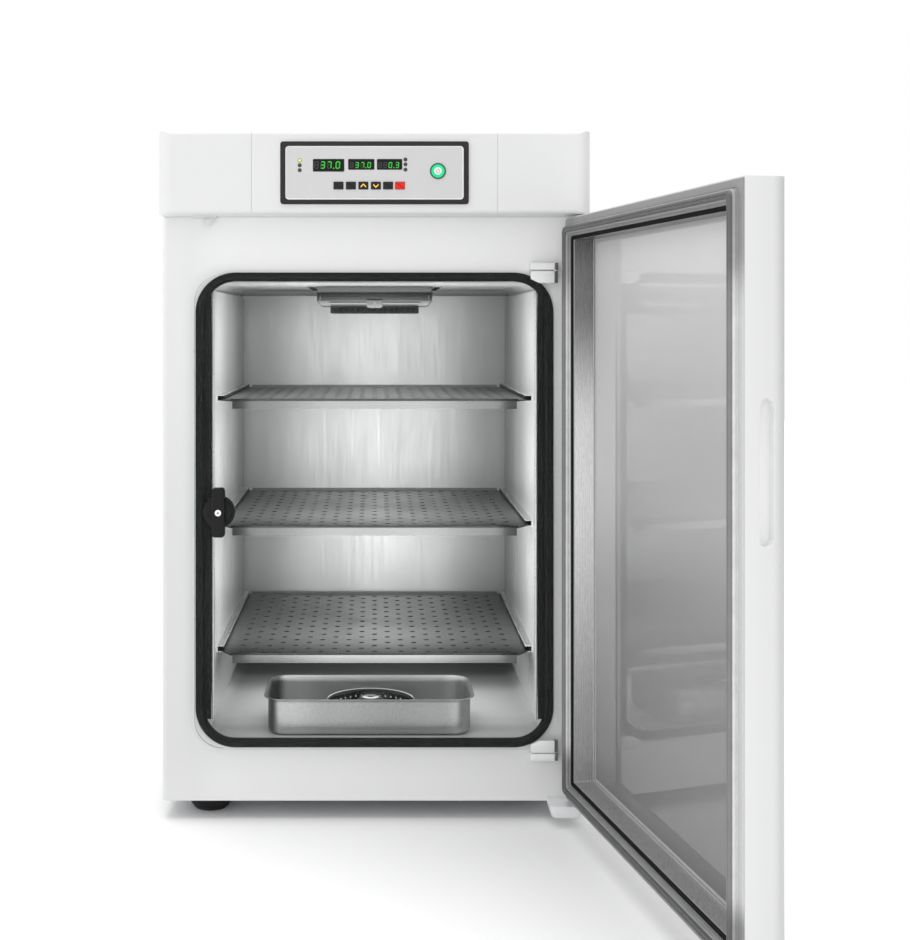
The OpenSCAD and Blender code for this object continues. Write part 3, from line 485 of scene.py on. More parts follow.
def split_faces(name, extra, pick):
    """Gives some of a CAD node's faces other materials; pick returns 0 for its own look or the number in extra."""
    o = NODES[name]
    for k in extra:
        o.data.materials.append(M[k])
    for p in o.data.polygons:
        c = (np.array(o.matrix_world @ p.center) - OFF) * 1000
        p.material_index = pick(c, p.normal)


for name, look in CAD_LOOK.items():
    o = NODES[name]
    o.data.materials.clear()
    o.data.materials.append(M[look])
    for p in o.data.polygons:
        p.material_index = 0


def liner_pick(c, n):
    if c[1] > 515 and n[1] < -0.9:
        return 1
    if n[2] > 0.7 and c[2] < 130:
        return 2
    if n[2] < -0.7 and c[2] > 770:
        return 3
    return 0


# the grip recess faces take the lighter look: painted light
split_faces("door_outer_shell", ["grip"], lambda c, n: 1 if 484 < c[2] < 652 and 396 < c[0] < 416 and -614 < c[1] < -590 else 0)
# back, floor and ceiling faces of the liner take looks with painted shade and reflection
split_faces("chamber_liner", ["liner_back", "liner_floor", "liner_ceiling"], liner_pick)
# hole walls get the near-black look (painted shade); front faces get the lip look with its painted shade and reflection
for name in ("shelf_top", "shelf_middle", "shelf_bottom"):
    split_faces(name, ["hole", "lip"], lambda c, n: 1 if abs(n[2]) < 0.5 and abs(c[0]) < 207 and 42 < c[1] < 495 else 2 if n[1] < -0.7 and c[1] < 30 else 0)



# Curved CAD walls are shaded smooth; their points stay where the frame put them.
for name in CAD_LOOK:
    smooth_by_angle(NODES[name].data, 35)


# ------------------------------------------------------------------ mesh builders
class Build:
    """Collects faces in cabinet (or closed-door) millimetres and makes one object of them."""

    def __init__(self, door=False):
        self.v, self.f, self.mi, self.n = [], [], [], 0
        self.door = door

    def add(self, verts, faces, mat=0):
        self.v.append(np.asarray(verts, float))
        self.f += [tuple(i + self.n for i in f) for f in faces]
        self.mi += [mat] * len(faces)
        self.n += len(verts)

    def make(self, name, mats, smooth=35, weld=0.0, fix=True):
        pts = np.concatenate(self.v)
        pts = door_row(pts) if self.door else to_row(pts)
        me = bpy.data.meshes.new(name)
        me.from_pydata(pts.tolist(), [], self.f)
        me.polygons.foreach_set("material_index", self.mi)
        me.validate()
        me.update()
        bm = bmesh.new()
        bm.from_mesh(me)
        if weld:
            bmesh.ops.remove_doubles(bm, verts=bm.verts, dist=weld)
        if fix:
            bmesh.ops.recalc_face_normals(bm, faces=bm.faces)
        bm.to_mesh(me)
        bm.free()
        if smooth:
            smooth_by_angle(me, smooth)
        o = bpy.data.objects.new(name, me)
        bpy.context.scene.collection.objects.link(o)
        for m in mats:
            me.materials.append(M[m] if isinstance(m, str) else m)
        return o


def rounded_rect(w, h, r, n=10):
    """Corner points of a rounded rectangle about (0, 0), counter-clockwise, with outward normals."""
    rs = r if isinstance(r, (tuple, list)) else (r, r, r, r)
    pts, nrm = [], []
    for k, (sx, sy) in enumerate(((1, 1), (-1, 1), (-1, -1), (1, -1))):
        rr = rs[k]
        cx, cy = sx * (w / 2 - rr), sy * (h / 2 - rr)
        for i in range(n + 1):
            a = math.pi / 2 * (k + i / n)
            pts.append((cx + rr * math.cos(a), cy + rr * math.sin(a)))
            nrm.append((math.cos(a), math.sin(a)))
    return np.array(pts), np.array(nrm)


def loop_faces(rows, closed_row=True, closed_col=False, flip=False):
    """Quads between rows of equal length; returns verts and faces."""
    k = len(rows[0])
    verts = np.concatenate([np.asarray(r, float) for r in rows])
    faces = []
    nr = len(rows)
    for j in range(nr if closed_col else nr - 1):
        a0, b0 = j * k, ((j + 1) % nr) * k
        for i in range(k if closed_row else k - 1):
            i2 = (i + 1) % k
            q = (a0 + i, a0 + i2, b0 + i2, b0 + i)
            faces.append(q[::-1] if flip else q)
    return verts, faces


def ring_sweep(b, cx, cz, w, h, r, profile, mat=0, n=10):
    """Sweeps a closed (outward offset, y) profile round a rounded rectangle standing in the xz plane."""
    p, q = rounded_rect(w, h, r, n)
    rows = []
    for o, y in profile:
        rows.append(np.stack([cx + p[:, 0] + q[:, 0] * o, np.full(len(p), y), cz + p[:, 1] + q[:, 1] * o], -1))
    v, f = loop_faces(rows, True, True)
    b.add(v, f, mat)


def door_ring(b, profile, mat=0, n=7):
    """Sweeps a closed (inset from the door's edge, y) profile round the door, its corners as the door's own parts have them."""
    rows = []
    for t, y in profile:
        r = float(np.interp(t, [1.5, 12, 24, 32, 40], [3, 9, 5, 3, 1]))
        p, _ = rounded_rect(608 - 2 * t, 839 - 2 * t, r, n)
        rows.append(np.stack([p[:, 0], np.full(len(p), y), 456.5 + p[:, 1]], -1))
    v, f = loop_faces(rows, True, True)
    b.add(v, f, mat)


def plate_loft(b, cx, cz, layers, mat=0, n=8):
    """Closed solid from (w, h, r, y) rounded rectangles one behind the other, capped at both ends."""
    rows = []
    for w, h, r, y in layers:
        p, _ = rounded_rect(w, h, r, n)
        rows.append(np.stack([cx + p[:, 0], np.full(len(p), y), cz + p[:, 1]], -1))
    v, f = loop_faces(rows)
    k = len(rows[0])
    f = f + [tuple(range(k))[::-1], tuple(range(len(v) - k, len(v)))]
    b.add(v, f, mat)


def flat_loft(b, cx, cy, layers, mat=0, n=8, cap0=True, cap1=True):
    """Closed solid from (w, d, r, z) rounded rectangles one above the other."""
    rows = []
    for w, d, r, z in layers:
        p, _ = rounded_rect(w, d, r, n)
        rows.append(np.stack([cx + p[:, 0], cy + p[:, 1], np.full(len(p), z)], -1))
    v, f = loop_faces(rows)
    k = len(rows[0])
    if cap0:
        f = f + [tuple(range(k))[::-1]]
    if cap1:
        f = f + [tuple(range(len(v) - k, len(v)))]
    b.add(v, f, mat)


def lathe(b, c, axis, profile, mat=0, n=48, a0=0.0, a1=None):
    """Revolves (radius, along) points about an axis through c; radius 0 ends close it."""
    full = a1 is None
    m = n if full else n + 1
    an = np.linspace(a0, a0 + 2 * math.pi if full else a1, n + 1)[:m]
    c = np.asarray(c, float)
    verts, rings = [], []
    for r, t in profile:
        if r < 1e-6:
            p = {"X": (t, 0, 0), "Y": (0, t, 0), "Z": (0, 0, t)}[axis]
            rings.append([len(verts)])
            verts.append(c + p)
        else:
            ids = []
            for a in an:
                u, w = r * math.cos(a), r * math.sin(a)
                p = {"X": (t, u, w), "Y": (w, t, u), "Z": (u, w, t)}[axis]
                ids.append(len(verts))
                verts.append(c + p)
            rings.append(ids)
    faces = []
    for r0, r1 in zip(rings, rings[1:]):
        if len(r0) == 1 and len(r1) == 1:
            continue
        for i in range(n if full else n):
            i2 = (i + 1) % m if full else i + 1
            if len(r0) == 1:
                faces.append((r0[0], r1[i], r1[i2]))
            elif len(r1) == 1:
                faces.append((r0[i], r0[i2], r1[0]))
            else:
                faces.append((r0[i], r0[i2], r1[i2], r1[i]))
    b.add(np.array(verts), faces, mat)


def box(b, lo, hi, bev=0.0, mat=0, seg=2):
    """Box with rounded edges, built in its own small mesh first."""
    bm = bmesh.new()
    bmesh.ops.create_cube(bm, size=1.0)
    lo, hi = np.asarray(lo, float), np.asarray(hi, float)
    for v in bm.verts:
        v.co = Vector(((lo + hi) / 2 + np.array(v.co) * (hi - lo)).tolist())
    if bev > 0:
        bmesh.ops.bevel(bm, geom=list(bm.edges), offset=bev, segments=seg, profile=0.5, affect="EDGES", clamp_overlap=True)
    bm.verts.ensure_lookup_table()
    vs = np.array([tuple(v.co) for v in bm.verts])
    b.add(vs, [tuple(v.index for v in f.verts) for f in bm.faces], mat)
    bm.free()


def prism(b, poly, y0, y1, bev=0.0, mat=0, seg=2, plane="XZ"):
    """Polygon in the xz plane (or xy for plane XY) run from y0 to y1, its edges rounded."""
    bm = bmesh.new()
    if plane == "XZ":
        mk = lambda p, t: bm.verts.new((p[0], t, p[1]))
    elif plane == "XY":
        mk = lambda p, t: bm.verts.new((p[0], p[1], t))
    else:
        mk = lambda p, t: bm.verts.new((t, p[0], p[1]))
    a = [mk(p, y0) for p in poly]
    c = [mk(p, y1) for p in poly]
    bm.faces.new(a[::-1])
    bm.faces.new(c)
    k = len(poly)
    for i in range(k):
        bm.faces.new((a[i], a[(i + 1) % k], c[(i + 1) % k], c[i]))
    bmesh.ops.recalc_face_normals(bm, faces=bm.faces)
    if bev > 0:
        es = [e for e in bm.edges if e.calc_face_angle(0) > math.radians(30)]
        bmesh.ops.bevel(bm, geom=es, offset=bev, segments=seg, profile=0.5, affect="EDGES", clamp_overlap=True)
    bm.verts.ensure_lookup_table()
    vs = np.array([tuple(v.co) for v in bm.verts])
    b.add(vs, [tuple(v.index for v in f.verts) for f in bm.faces], mat)
    bm.free()


def arc(cx, cy, r, a0, a1, n=8):
    return [(cx + r * math.cos(math.radians(a0 + (a1 - a0) * i / n)), cy + r * math.sin(math.radians(a0 + (a1 - a0) * i / n))) for i in range(n + 1)]


def put(b, name, mats, body, nodes=(), smooth=35):
    o = b.make(name, mats, smooth)
    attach(o, body)
    if nodes:
        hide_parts(*nodes)
    return o


# ------------------------------------------------------------------ seals and door frame
def seals():
    b = Build()
    prof = [(6.5, 0), (6.5, -5.2), (6.1, -6.4), (5.2, -7.0), (4.6, -7.3), (4.3, -8.0), (3.6, -8.6), (2.4, -8.95), (1.0, -9.0), (0.5, -8.6),
            (-0.5, -8.6), (-1.0, -9.0), (-2.4, -8.95), (-3.6, -8.6), (-4.3, -8.0), (-4.6, -7.3), (-5.2, -7.0), (-6.1, -6.4), (-6.5, -5.2), (-6.5, 0)]
    ring_sweep(b, 0, 452.5, 508, 678, 51.5, prof, 0, 18)
    for s in (-1, 1):
        x0, x1 = sorted((s * 238.3, s * 248.3))
        box(b, (x0, -0.8, 147), (x1, 1.4, 768), 0.7)
        for k in range(4):
            x = s * (239.6 + 2.3 * k)
            box(b, (x - 0.45, -1.0, 152), (x + 0.45, -0.6, 763), 0.2)
    put(b, "chamber_seal", ["gasket"], "cabinet", ["chamber_gasket"], 50)

    b = Build(door=True)
    base = [(4.7, -12.8), (4.7, -12), (6, -12), (6, -11.0), (5.3, -10.2), (5.3, -9.8), (6, -9.1), (6, -7.3), (5.4, -6.2), (4.4, -5.9)]
    tip = [(4.35, -6.1), (4.3, -4.4), (3.7, -3.0), (2.7, -2.4), (1.0, -2.4), (0.35, -3.2)]
    door_ring(b, [(18 - o, y) for o, y in base] + [(18 + o, y) for o, y in base[::-1]], 0)
    door_ring(b, [(18 - o, y) for o, y in tip] + [(18 + o, y) for o, y in tip[::-1]], 1)
    put(b, "door_seal", ["dgasket_base", "dgasket"], "outer_door", ["door_gasket"], 40)

    b = Build(door=True)
    door_ring(b, [(1.5, -14), (1.5, -12.8), (2.2, -12.0), (10.2, -12.0), (10.6, -12.5), (11.2, -12.5), (11.6, -12.0), (12.8, -12.0), (13.0, -12.8), (23.0, -12.8), (23.2, -12.0), (24.6, -12.0), (24.8, -12.7),
                  (30.1, -12.7), (30.3, -12.0), (31.1, -12.0), (31.75, -12.3), (32, -12.9), (32, -46), (30.5, -46), (30.5, -14)])
    put(b, "door_frame_moulding", ["frame"], "outer_door", ["door_inner_frame"], 30)

    b = Build(door=True)
    door_ring(b, [(27.4, -12.7), (27.6, -12.0), (28.2, -11.6), (31.2, -11.4), (32.3, -11.7), (33.0, -12.5), (33.0, -14.9), (32.5, -15.4)])
    put(b, "recess_edge_strip", ["strip_black"], "outer_door")

    b = Build(door=True)
    door_ring(b, [(32.0, -13.6), (32.5, -13.8), (32.6, -16.0), (32.6, -43.6), (32.5, -45.8), (32.0, -45.9)])
    put(b, "recess_trim", ["trim"], "outer_door")
    b = Build(door=True)
    for y in (-15.0, -44.6):
        door_ring(b, [(32.6, y - 0.8), (33.05, y - 0.5), (33.05, y + 0.5), (32.6, y + 0.8)])
    door_ring(b, [(33.1, -45.95), (37.3, -45.5), (38.1, -45.7), (38.1, -45.95)])
    put(b, "recess_trim_edges", ["trim_edge"], "outer_door")


seals()


# ------------------------------------------------------------------ inner door fittings
def inner_door():
    def leaf(b, m):
        z = (lambda t: 902.5 - t) if m else (lambda t: t)
        prism(b, [(228, z(102.5)), (260.6, z(102.5)), (260.6, z(120)), (238, z(120)), (226, z(114)), (226, z(104.5))], -17.4, -14.45, 0.8, seg=3)
        prism(b, [(260.3, z(102.6)), (261.8, z(102.6)), (261.8, z(119.9)), (260.3, z(119.9))], -17.2, -14.45, 0.5, 1)
        lathe(b, (262.5, -12, 0), "Z", [(2.1, z(102.5)), (3.1, z(102.5)), (3.5, z(102.9)), (3.5, z(119.6)), (3.1, z(120)), (2.1, z(120)), (2.1, z(102.5))], 1, 28)

    def block(b, m):
        z = (lambda t: 902.5 - t) if m else (lambda t: t)
        lo, hi = sorted((z(90.5), z(100.8)))
        prism(b, [(226, 0), (226, -15.4), (227.6, -17), (260.4, -17), (261.8, -15.6), (261.8, 0)], lo, hi, 1.0, plane="XY", seg=3)
        prism(b, [(261.6, 0), (261.6, -14.8), (262.2, -15.5), (264.4, -15.5), (266, -14.0), (266, 0)], lo, hi, 0.9, 1, plane="XY", seg=3)
        lathe(b, (262.5, -12, 0), "Z", [(0, z(118)), (1.6, z(118)), (2.0, z(117.4)), (2.0, z(100))], 2, 24)

    b = Build()
    leaf(b, False), leaf(b, True)
    put(b, "inner_hinge_leaves", ["hinge", "hinge_dark"], "inner_door", ["inner_hinges"])
    b = Build()
    block(b, False), block(b, True)
    put(b, "inner_hinge_blocks", ["hinge", "hinge_dark", "polish"], "cabinet", ["inner_hinge_brackets"])

    # ground edge of the glass
    b = Build()
    gp, gq = rounded_rect(529.5, 689.5, (3, 43, 43, 3), 14)
    rows = []
    for o, y in [(0.0, -14.2), (-0.8, -14.45), (-1.7, -14.42), (-1.7, -9.38), (-0.8, -9.35), (0.0, -9.6)]:
        rows.append(np.stack([1.75 + gp[:, 0] + gq[:, 0] * o, np.full(len(gp), y), 451.25 + gp[:, 1] + gq[:, 1] * o], -1))
    v, f = loop_faces(rows, True, True)
    keep = [q for q in f if not any(v[i][0] > 256.5 and (v[i][2] < 122.5 or v[i][2] > 780) for i in q)]
    b.add(v, keep)
    put(b, "glass_edge", ["glass_edge"], "inner_door")

    # turn knob: two stepped discs and a grip bar
    b = Build()
    c = (-224.5, 0, 452)
    lathe(b, c, "Y", [(4, -14.7), (22.2, -14.7), (23, -15.4), (23, -20.6), (22.0, -21.8), (20.6, -22.1), (19.4, -22.3), (19.0, -23.0), (19.0, -25.0), (18.2, -25.8), (9, -26.1), (4, -26.1)], 0, 64)
    p = [(-224.5 + x, 452 + z) for x, z in arc(4.2, 30.5, 5.1, 0, 78, 6) + arc(-4.2, 30.5, 5.1, 102, 180, 6) + arc(-4.2, -30.5, 5.1, 180, 258, 6) + arc(4.2, -30.5, 5.1, 282, 360, 6)]
    prism(b, p, -35.8, -22.0, 1.7, 0, 3)
    prism(b, [(-224.5 + x, 452 + z) for x, z in ((-6.2, -27), (6.2, -27), (6.2, 27), (-6.2, 27))], -36.1, -34.8, 0.25)
    put(b, "latch_handle", ["knob"], "latch", ["latch_knob"], 32)
    b = Build()
    lathe(b, c, "Y", [(5.4, -34.9), (5.4, -36.4), (5.0, -36.7), (4.7, -36.4), (4.7, -35.4)], 0, 40)
    put(b, "latch_screw_cup", ["knob"], "latch")
    b = Build()
    box(b, (-226.7, -36.95, 451.55), (-222.3, -36.7, 452.45), 0.05)
    box(b, (-224.95, -36.95, 449.8), (-224.05, -36.7, 454.2), 0.05)
    put(b, "latch_screw_cross", ["black"], "latch")


inner_door()


# ------------------------------------------------------------------ pan, dish, feet
def pan():
    b = Build()
    L = [(280, 119, 17, 114.3), (289, 128, 21, 114.45), (295, 134, 23.5, 115.6), (299.4, 138.4, 24.6, 118.4), (301.6, 140.6, 25, 122.4), (302, 141, 25, 128), (302, 141, 25, 162),
         (302.6, 141.6, 25.3, 165), (304.6, 143.6, 26.3, 167.0), (308.6, 147.6, 28.3, 168.0), (312.4, 151.4, 30.2, 168.2), (314, 153, 31, 168.5), (314, 153, 31, 169.0), (312.8, 151.8, 30.4, 169.3),
         (309.6, 148.6, 28.8, 169.15), (305.6, 144.6, 26.8, 168.3), (302.4, 141.4, 25.2, 166.3), (300.8, 139.8, 24.4, 163.6), (300.4, 139.4, 24.2, 159), (300.4, 139.4, 24.2, 126), (299, 138, 23.5, 121.4),
         (295.4, 134.4, 22, 118.0), (289.8, 128.8, 19.5, 116.0), (281, 120, 15, 115.25), (262, 101, 10, 115.1)]
    flat_loft(b, -8, 98.7, L, 0, 14)
    put(b, "pan_pressing", ["pan"], "humidity_pan", ["water_pan"], 60)
    b = Build()
    c = (-6, 98.7, 115.5)
    lathe(b, c, "Z", [(0, 0.0), (46, 0.0), (53, 1.2), (58.5, 6), (63.4, 18.5), (67.2, 32.4), (68.0, 33.6), (68.4, 34.4), (68.3, 35.0), (67.4, 35.2), (65.0, 35.1), (63.9, 34.3), (62.4, 29.5), (59.3, 18),
                      (55.8, 8.4), (52, 4), (46, 2.4), (42, 2.3), (41.4, 3), (39.6, 3), (39, 2.3), (34, 2.2), (33.4, 2.9), (31.6, 2.9), (31, 2.2), (25, 2.3), (21.5, 3.4), (19.6, 6), (19.2, 31), (18.4, 35.6),
                      (16.6, 38.2), (13, 39.3), (5, 39.4), (4.4, 38.4), (0, 38.2)], 0, 72)
    put(b, "dish_pressing", ["dish"], "humidity_pan", ["pan_dish"], 40)
    b = Build()
    for i in range(24):
        a = 2 * math.pi * i / 24
        lathe(b, (-6 + 19.0 * math.cos(a), 98.7 + 19.0 * math.sin(a), 115.5), "Z", [(0, 5), (1.5, 5.3), (1.5, 32), (1.0, 34.0), (0, 34.6)], 0, 10)
    for i in range(36):
        a = 2 * math.pi * (i + 0.5) / 36
        lathe(b, (-6 + 54.0 * math.cos(a), 98.7 + 54.0 * math.sin(a), 115.5 + 8.4), "Z", [(0, 1.3), (1.3, 0.9), (1.9, -0.4), (1.9, -2.4)], 0, 10)
    for i in range(40):
        a = 2 * math.pi * (i + 0.5) / 40
        lathe(b, (-6 + 61.0 * math.cos(a), 98.7 + 61.0 * math.sin(a), 115.5 + 25), "Z", [(0, 1.9), (1.1, 1.5), (1.7, 0.4), (1.7, -1.2)], 0, 10)
    lathe(b, (-6, 98.7, 115.5), "Z", [(65.4, 35.0), (65.9, 35.5), (66.6, 35.7), (67.3, 35.5), (67.6, 35.0)], 0, 72)
    lathe(b, (-6, 98.7, 115.5), "Z", [(4.8, 39.3), (5.0, 39.8), (11.5, 39.9), (12.6, 39.5), (13.0, 39.0)], 0, 40)
    put(b, "dish_flutes", ["polish"], "humidity_pan")

    b = Build()
    for x, y in ((-245, 63), (245, 118), (-245, 577), (245, 577)):
        lathe(b, (x, y, 0), "Z", [(0, 0), (22.6, 0), (24, 0.5), (26.5, 3.2), (29.6, 7.6), (32.4, 12.6), (33.6, 15.6), (34, 17.4), (34, 19.8), (33.2, 21), (10, 21)], 0, 56)
        lathe(b, (x, y, 0), "Z", [(6, 20.5), (6, 29.5)], 1, 24)
        for k in range(28):
            a = 2 * math.pi * k / 28
            lathe(b, (x + 33.7 * math.cos(a), y + 33.7 * math.sin(a), 0), "Z", [(0, 16.6), (0.75, 16.9), (0.75, 20.2), (0, 20.5)], 0, 6)
    put(b, "foot_bowls", ["foot", "zinc"], "cabinet", ["leveling_feet"], 45)


pan()


# ------------------------------------------------------------------ lower outer hinge bracket
def bracket():
    b = Build()
    out = arc(261, -34, 10, 180, 270, 8) + arc(289, -34, 10, 270, 360, 8) + [(299, -0.1), (251, -0.1)]
    P = np.array(out)
    c = np.array([280.0, -0.1])
    rows = []
    for kx, ky, z in ((0.66, 0.80, 15.0), (0.78, 0.88, 15.3), (0.86, 0.94, 16.4), (0.91, 0.972, 18.6), (0.95, 0.99, 22.4), (1.0, 1.0, 28.0), (1.0, 1.0, 32.4), (0.985, 0.985, 33.0)):
        rows.append(np.concatenate([c + (P - c) * np.array([kx, ky]), np.full((len(P), 1), z)], 1))
    v, f = loop_faces(rows)
    n = len(P)
    f += [tuple(range(n))[::-1], tuple(range(len(v) - n, len(v)))]
    b.add(v, f)
    prism(b, [(-3, 15.6), (2, 15.6), (34, 24.2), (34, 27.9), (-3, 27.9)], 264, 297, 0.8, plane="YZ")
    lathe(b, (292, -26.5, 0), "Z", [(8.0, 32.9), (8.0, 34.6), (7.5, 35.0), (4.0, 35.0), (4.0, 57.2), (3.2, 58), (0, 58)], 1, 32)
    put(b, "lower_hinge_casting", ["cast_grey", "polish"], "cabinet", ["hinge_bracket_lower"], 40)


bracket()


# ------------------------------------------------------------------ chamber fittings
TOP_Z, MID_Z, LOW_Z = 610, 423, 235


def chamber_fittings():
    b = Build()
    prism(b, [(-91.8, 761.2), (91.8, 761.2), (91.8, 772.6), (-91.8, 772.6)], 204.2, 205.2, 0.3, 0)
    prism(b, [(-92, 772.4), (92, 772.4), (92, 773.6), (-92, 773.6)], 203.6, 205.2, 0.3, 2)
    prism(b, [(-91.8, 760.9), (-85, 752.2), (85, 752.2), (91.8, 760.9)], 203.9, 205.2, 0.3, 1)
    for p, q in (((-92.2, 761.2), (-85.2, 751.9)), ((-85.2, 751.9), (85.2, 751.9)), ((85.2, 751.9), (92.2, 761.2))):
        d = np.array(q, float) - np.array(p, float)
        m = np.array([-d[1], d[0]]) / np.hypot(*d) * 0.42
        prism(b, [tuple(np.array(p) - m), tuple(np.array(q) - m), tuple(np.array(q) + m), tuple(np.array(p) + m)], 203.5, 204.3, 0.1, 2)
    prism(b, [(-70, 752.8), (70, 752.8), (70, 754.4), (-70, 754.4)], 203.3, 204.2, 0.2, 0)
    prism(b, [(-73, 757.6), (73, 757.6), (73, 759.2), (-73, 759.2)], 203.3, 204.2, 0.2, 0)
    tab = [(x, z) for x, z in arc(-8.2, 753.2, 4.2, 180, 270, 6) + arc(8.2, 753.2, 4.2, 270, 360, 6) + [(12.4, 761.6), (-12.4, 761.6)]]
    prism(b, tab, 202.4, 203.9, 0.5, 1, 3)
    prism(b, [(-12.6, 761.2), (12.6, 761.2), (12.6, 763.2), (-12.6, 763.2)], 202.2, 204.3, 0.3, 2)
    lathe(b, (0, 0, 756), "Y", [(0, 201.5), (2.2, 201.6), (3.0, 202.1), (3.1, 202.6)], 3, 24)
    for s in (-1, 1):
        for y in (232, 318):
            lathe(b, (s * 100.6, y, 0), "Z", [(0, 779.4), (3.0, 779.5), (4.1, 780.4), (4.3, 782.7), (5.8, 782.7), (5.8, 783.2)], 2, 24)
        x0, x1 = sorted((s * 91.9, s * 93.4))
        box(b, (x0, 222, 765), (x1, 328, 783.6), 0.3, 2)
        x0, x1 = sorted((s * 86.4, s * 87.4))
        box(b, (x0, 203.7, 762.8), (x1, 204.3, 769.5), 0.15, 1)
    box(b, (-90.8, 206.6, 773.2), (90.8, 207.4, 782.8), 0.2, 4)
    put(b, "fan_tray_front", ["tray_dark", "tray_lip", "black", "tray_screw", "tray_flange"], "cabinet")

    b = Build()
    # backing plate behind the slots: painted shade, so the slots read black
    box(b, (-68.6, 222.4, 743.4), (68.6, 224.0, 750.6), 0.3, 0)
    box(b, (-70.4, 218.6, 741.0), (70.4, 219.3, 743.4), 0.3, 1)
    box(b, (-70.8, 218.7, 750.4), (70.8, 219.3, 751.8), 0.3, 1)
    for k in range(-7, 8):
        box(b, (9 * k - 1.9, 218.9, 744.7), (9 * k + 1.9, 219.6, 749.3), 0.3, 0)
    put(b, "fan_grille_louvres", ["pitch", "black"], "cabinet")
    b = Build()
    # wedge in the rear ceiling corner, coloured as painted shade
    prism(b, [(470, 782.9), (515.0, 774.7), (515.0, 783.1), (470, 783.1)], -243.5, 243.5, 0.0, 0, plane="YZ")
    put(b, "rear_cove_painted_shade", ["cove"], "cabinet")

    for name, body, zt in (("top", "top_shelf", TOP_Z), ("middle", "middle_shelf", MID_Z), ("bottom", "bottom_shelf", LOW_Z)):
        b = Build()
        # collars under each hole in near black: painted shade inside the perforations
        for j in range(23):
            for i in range(11 - j % 2):
                lathe(b, (-200 + 40 * i + 20 * (j % 2), 48 + 20 * j, zt), "Z", [(4.42, -1.15), (4.42, -3.6), (4.85, -3.6), (4.85, -1.15), (4.42, -1.15)], 0, 10)
        put(b, name + "_shelf_collars_painted_shade", ["hole"], body)
        b = Build()
        # front bead and side strips in near black: painted shade along the shelf edges
        box(b, (-212, 24.5, zt - 0.4), (212, 26.2, zt + 2.6), 0.5, 0)
        for s in (-1, 1):
            prism(b, [(s * 212, 24.5), (s * 231.6, 54.9), (s * 231, 55.3), (s * 211.6, 25.1)][::s], zt - 1.0, zt + 0.25, 0.12, 0, plane="XY")
            x0, x1 = sorted((s * 230.9, s * 231.6))
            box(b, (x0, 55, zt - 1.0), (x1, 514, zt + 0.4), 0.15, 0)
        put(b, name + "_shelf_edge", ["bead_dark"], body)

    b = Build()
    for s in (-1, 1):
        for zt in (TOP_Z, MID_Z, LOW_Z):
            for lo, hi in ((zt + 5.7, zt + 7.1), (zt - 2.8, zt - 1.4)):
                x0, x1 = sorted((s * 225.3, s * 226.5))
                box(b, (x0, 55, lo), (x1, 499, hi), 0.35, 0)
            # dark channel faces between the bright rail edges: painted shade
            x0, x1 = sorted((s * 234.9, s * 234.1))
            box(b, (x0, 55.2, zt - 1.4), (x1, 499, zt + 5.7), 0.2, 1)
            x0, x1 = sorted((s * 225.5, s * 226.2))
            box(b, (x0, 55.2, zt + 0.45), (x1, 499, zt + 5.75), 0.15, 1)
        lathe(b, (s * 236.6, 10, 0), "Z", [(0, 143), (1.2, 143.2), (1.7, 144), (1.7, 771), (1.2, 771.8), (0, 772)], 0, 16)
    put(b, "rail_edges", ["rail_edge", "rail_dark"], "cabinet")


chamber_fittings()


# ------------------------------------------------------------------ screws at the back
def rear_screws():
    b = Build()
    spots = [(s * 296, z) for s in (-1, 1) for z in (48, 205, 365, 525, 685, 832)] + [(x, z) for x in (-150, 0, 150) for z in (44, 846)]
    spots += [(s * 297, z) for s in (-1, 1) for z in (892, 978)] + [(x, 982) for x in (-120, 0, 120)]
    spots += [(-200 + s * 20.2, 930) for s in (-1, 1)]
    for x, z in spots:
        r = 1.6 if abs(z - 930) < 1 else 4.2
        y = 643.2 if abs(z - 930) < 1 else 640.0
        lathe(b, (x, 0, z), "Y", [(0, y + r * 0.46), (r * 0.5, y + r * 0.42), (r * 0.85, y + r * 0.22), (r, y - 0.2), (r, y - 0.6)][::-1], 0, 24)
        d = r * 0.62
        box(b, (x - d, y + r * 0.38, z - r * 0.11), (x + d, y + r * 0.50, z + r * 0.11), 0.03, 1)
        box(b, (x - r * 0.11, y + r * 0.38, z - d), (x + r * 0.11, y + r * 0.50, z + d), 0.03, 1)
    put(b, "rear_panel_screws", ["zinc", "black"], "cabinet")


rear_screws()


# ------------------------------------------------------------------ control panel
SEG = {"0": "abcdef", "3": "abgcd", "7": "abc", "8": "abcdefg"}


def seg_poly(s, w, h, t):
    """One segment of a seven-segment digit as a six-sided bar, the digit centred on (0, 0)."""
    hw, hh, g = w / 2 - t / 2, h / 2 - t / 2, t * 0.12
    ends = {"a": ((-hw, hh), (hw, hh)), "g": ((-hw, 0), (hw, 0)), "d": ((-hw, -hh), (hw, -hh)),
            "f": ((-hw, hh), (-hw, 0)), "b": ((hw, hh), (hw, 0)), "e": ((-hw, 0), (-hw, -hh)), "c": ((hw, 0), (hw, -hh))}
    (x0, z0), (x1, z1) = ends[s]
    dx, dz = x1 - x0, z1 - z0
    n = math.hypot(dx, dz)
    ux, uz = dx / n, dz / n
    px, pz = -uz * t / 2, ux * t / 2
    x0, z0, x1, z1 = x0 + ux * g, z0 + uz * g, x1 - ux * g, z1 - uz * g
    q = t / 2
    pts = [(x0, z0), (x0 + ux * q + px, z0 + uz * q + pz), (x1 - ux * q + px, z1 - uz * q + pz), (x1, z1), (x1 - ux * q - px, z1 - uz * q - pz), (x0 + ux * q - px, z0 + uz * q - pz)]
    return [(x + z * 0.07, z) for x, z in pts]


def digit(b, x, z, w, h, t, lit_segs, y0=-63.95, y1=-63.72):
    for s in "abcdefg":
        prism(b, [(x + p, z + q) for p, q in seg_poly(s, w, h, t)], y0, y1, 0, 0 if s in lit_segs else 1)


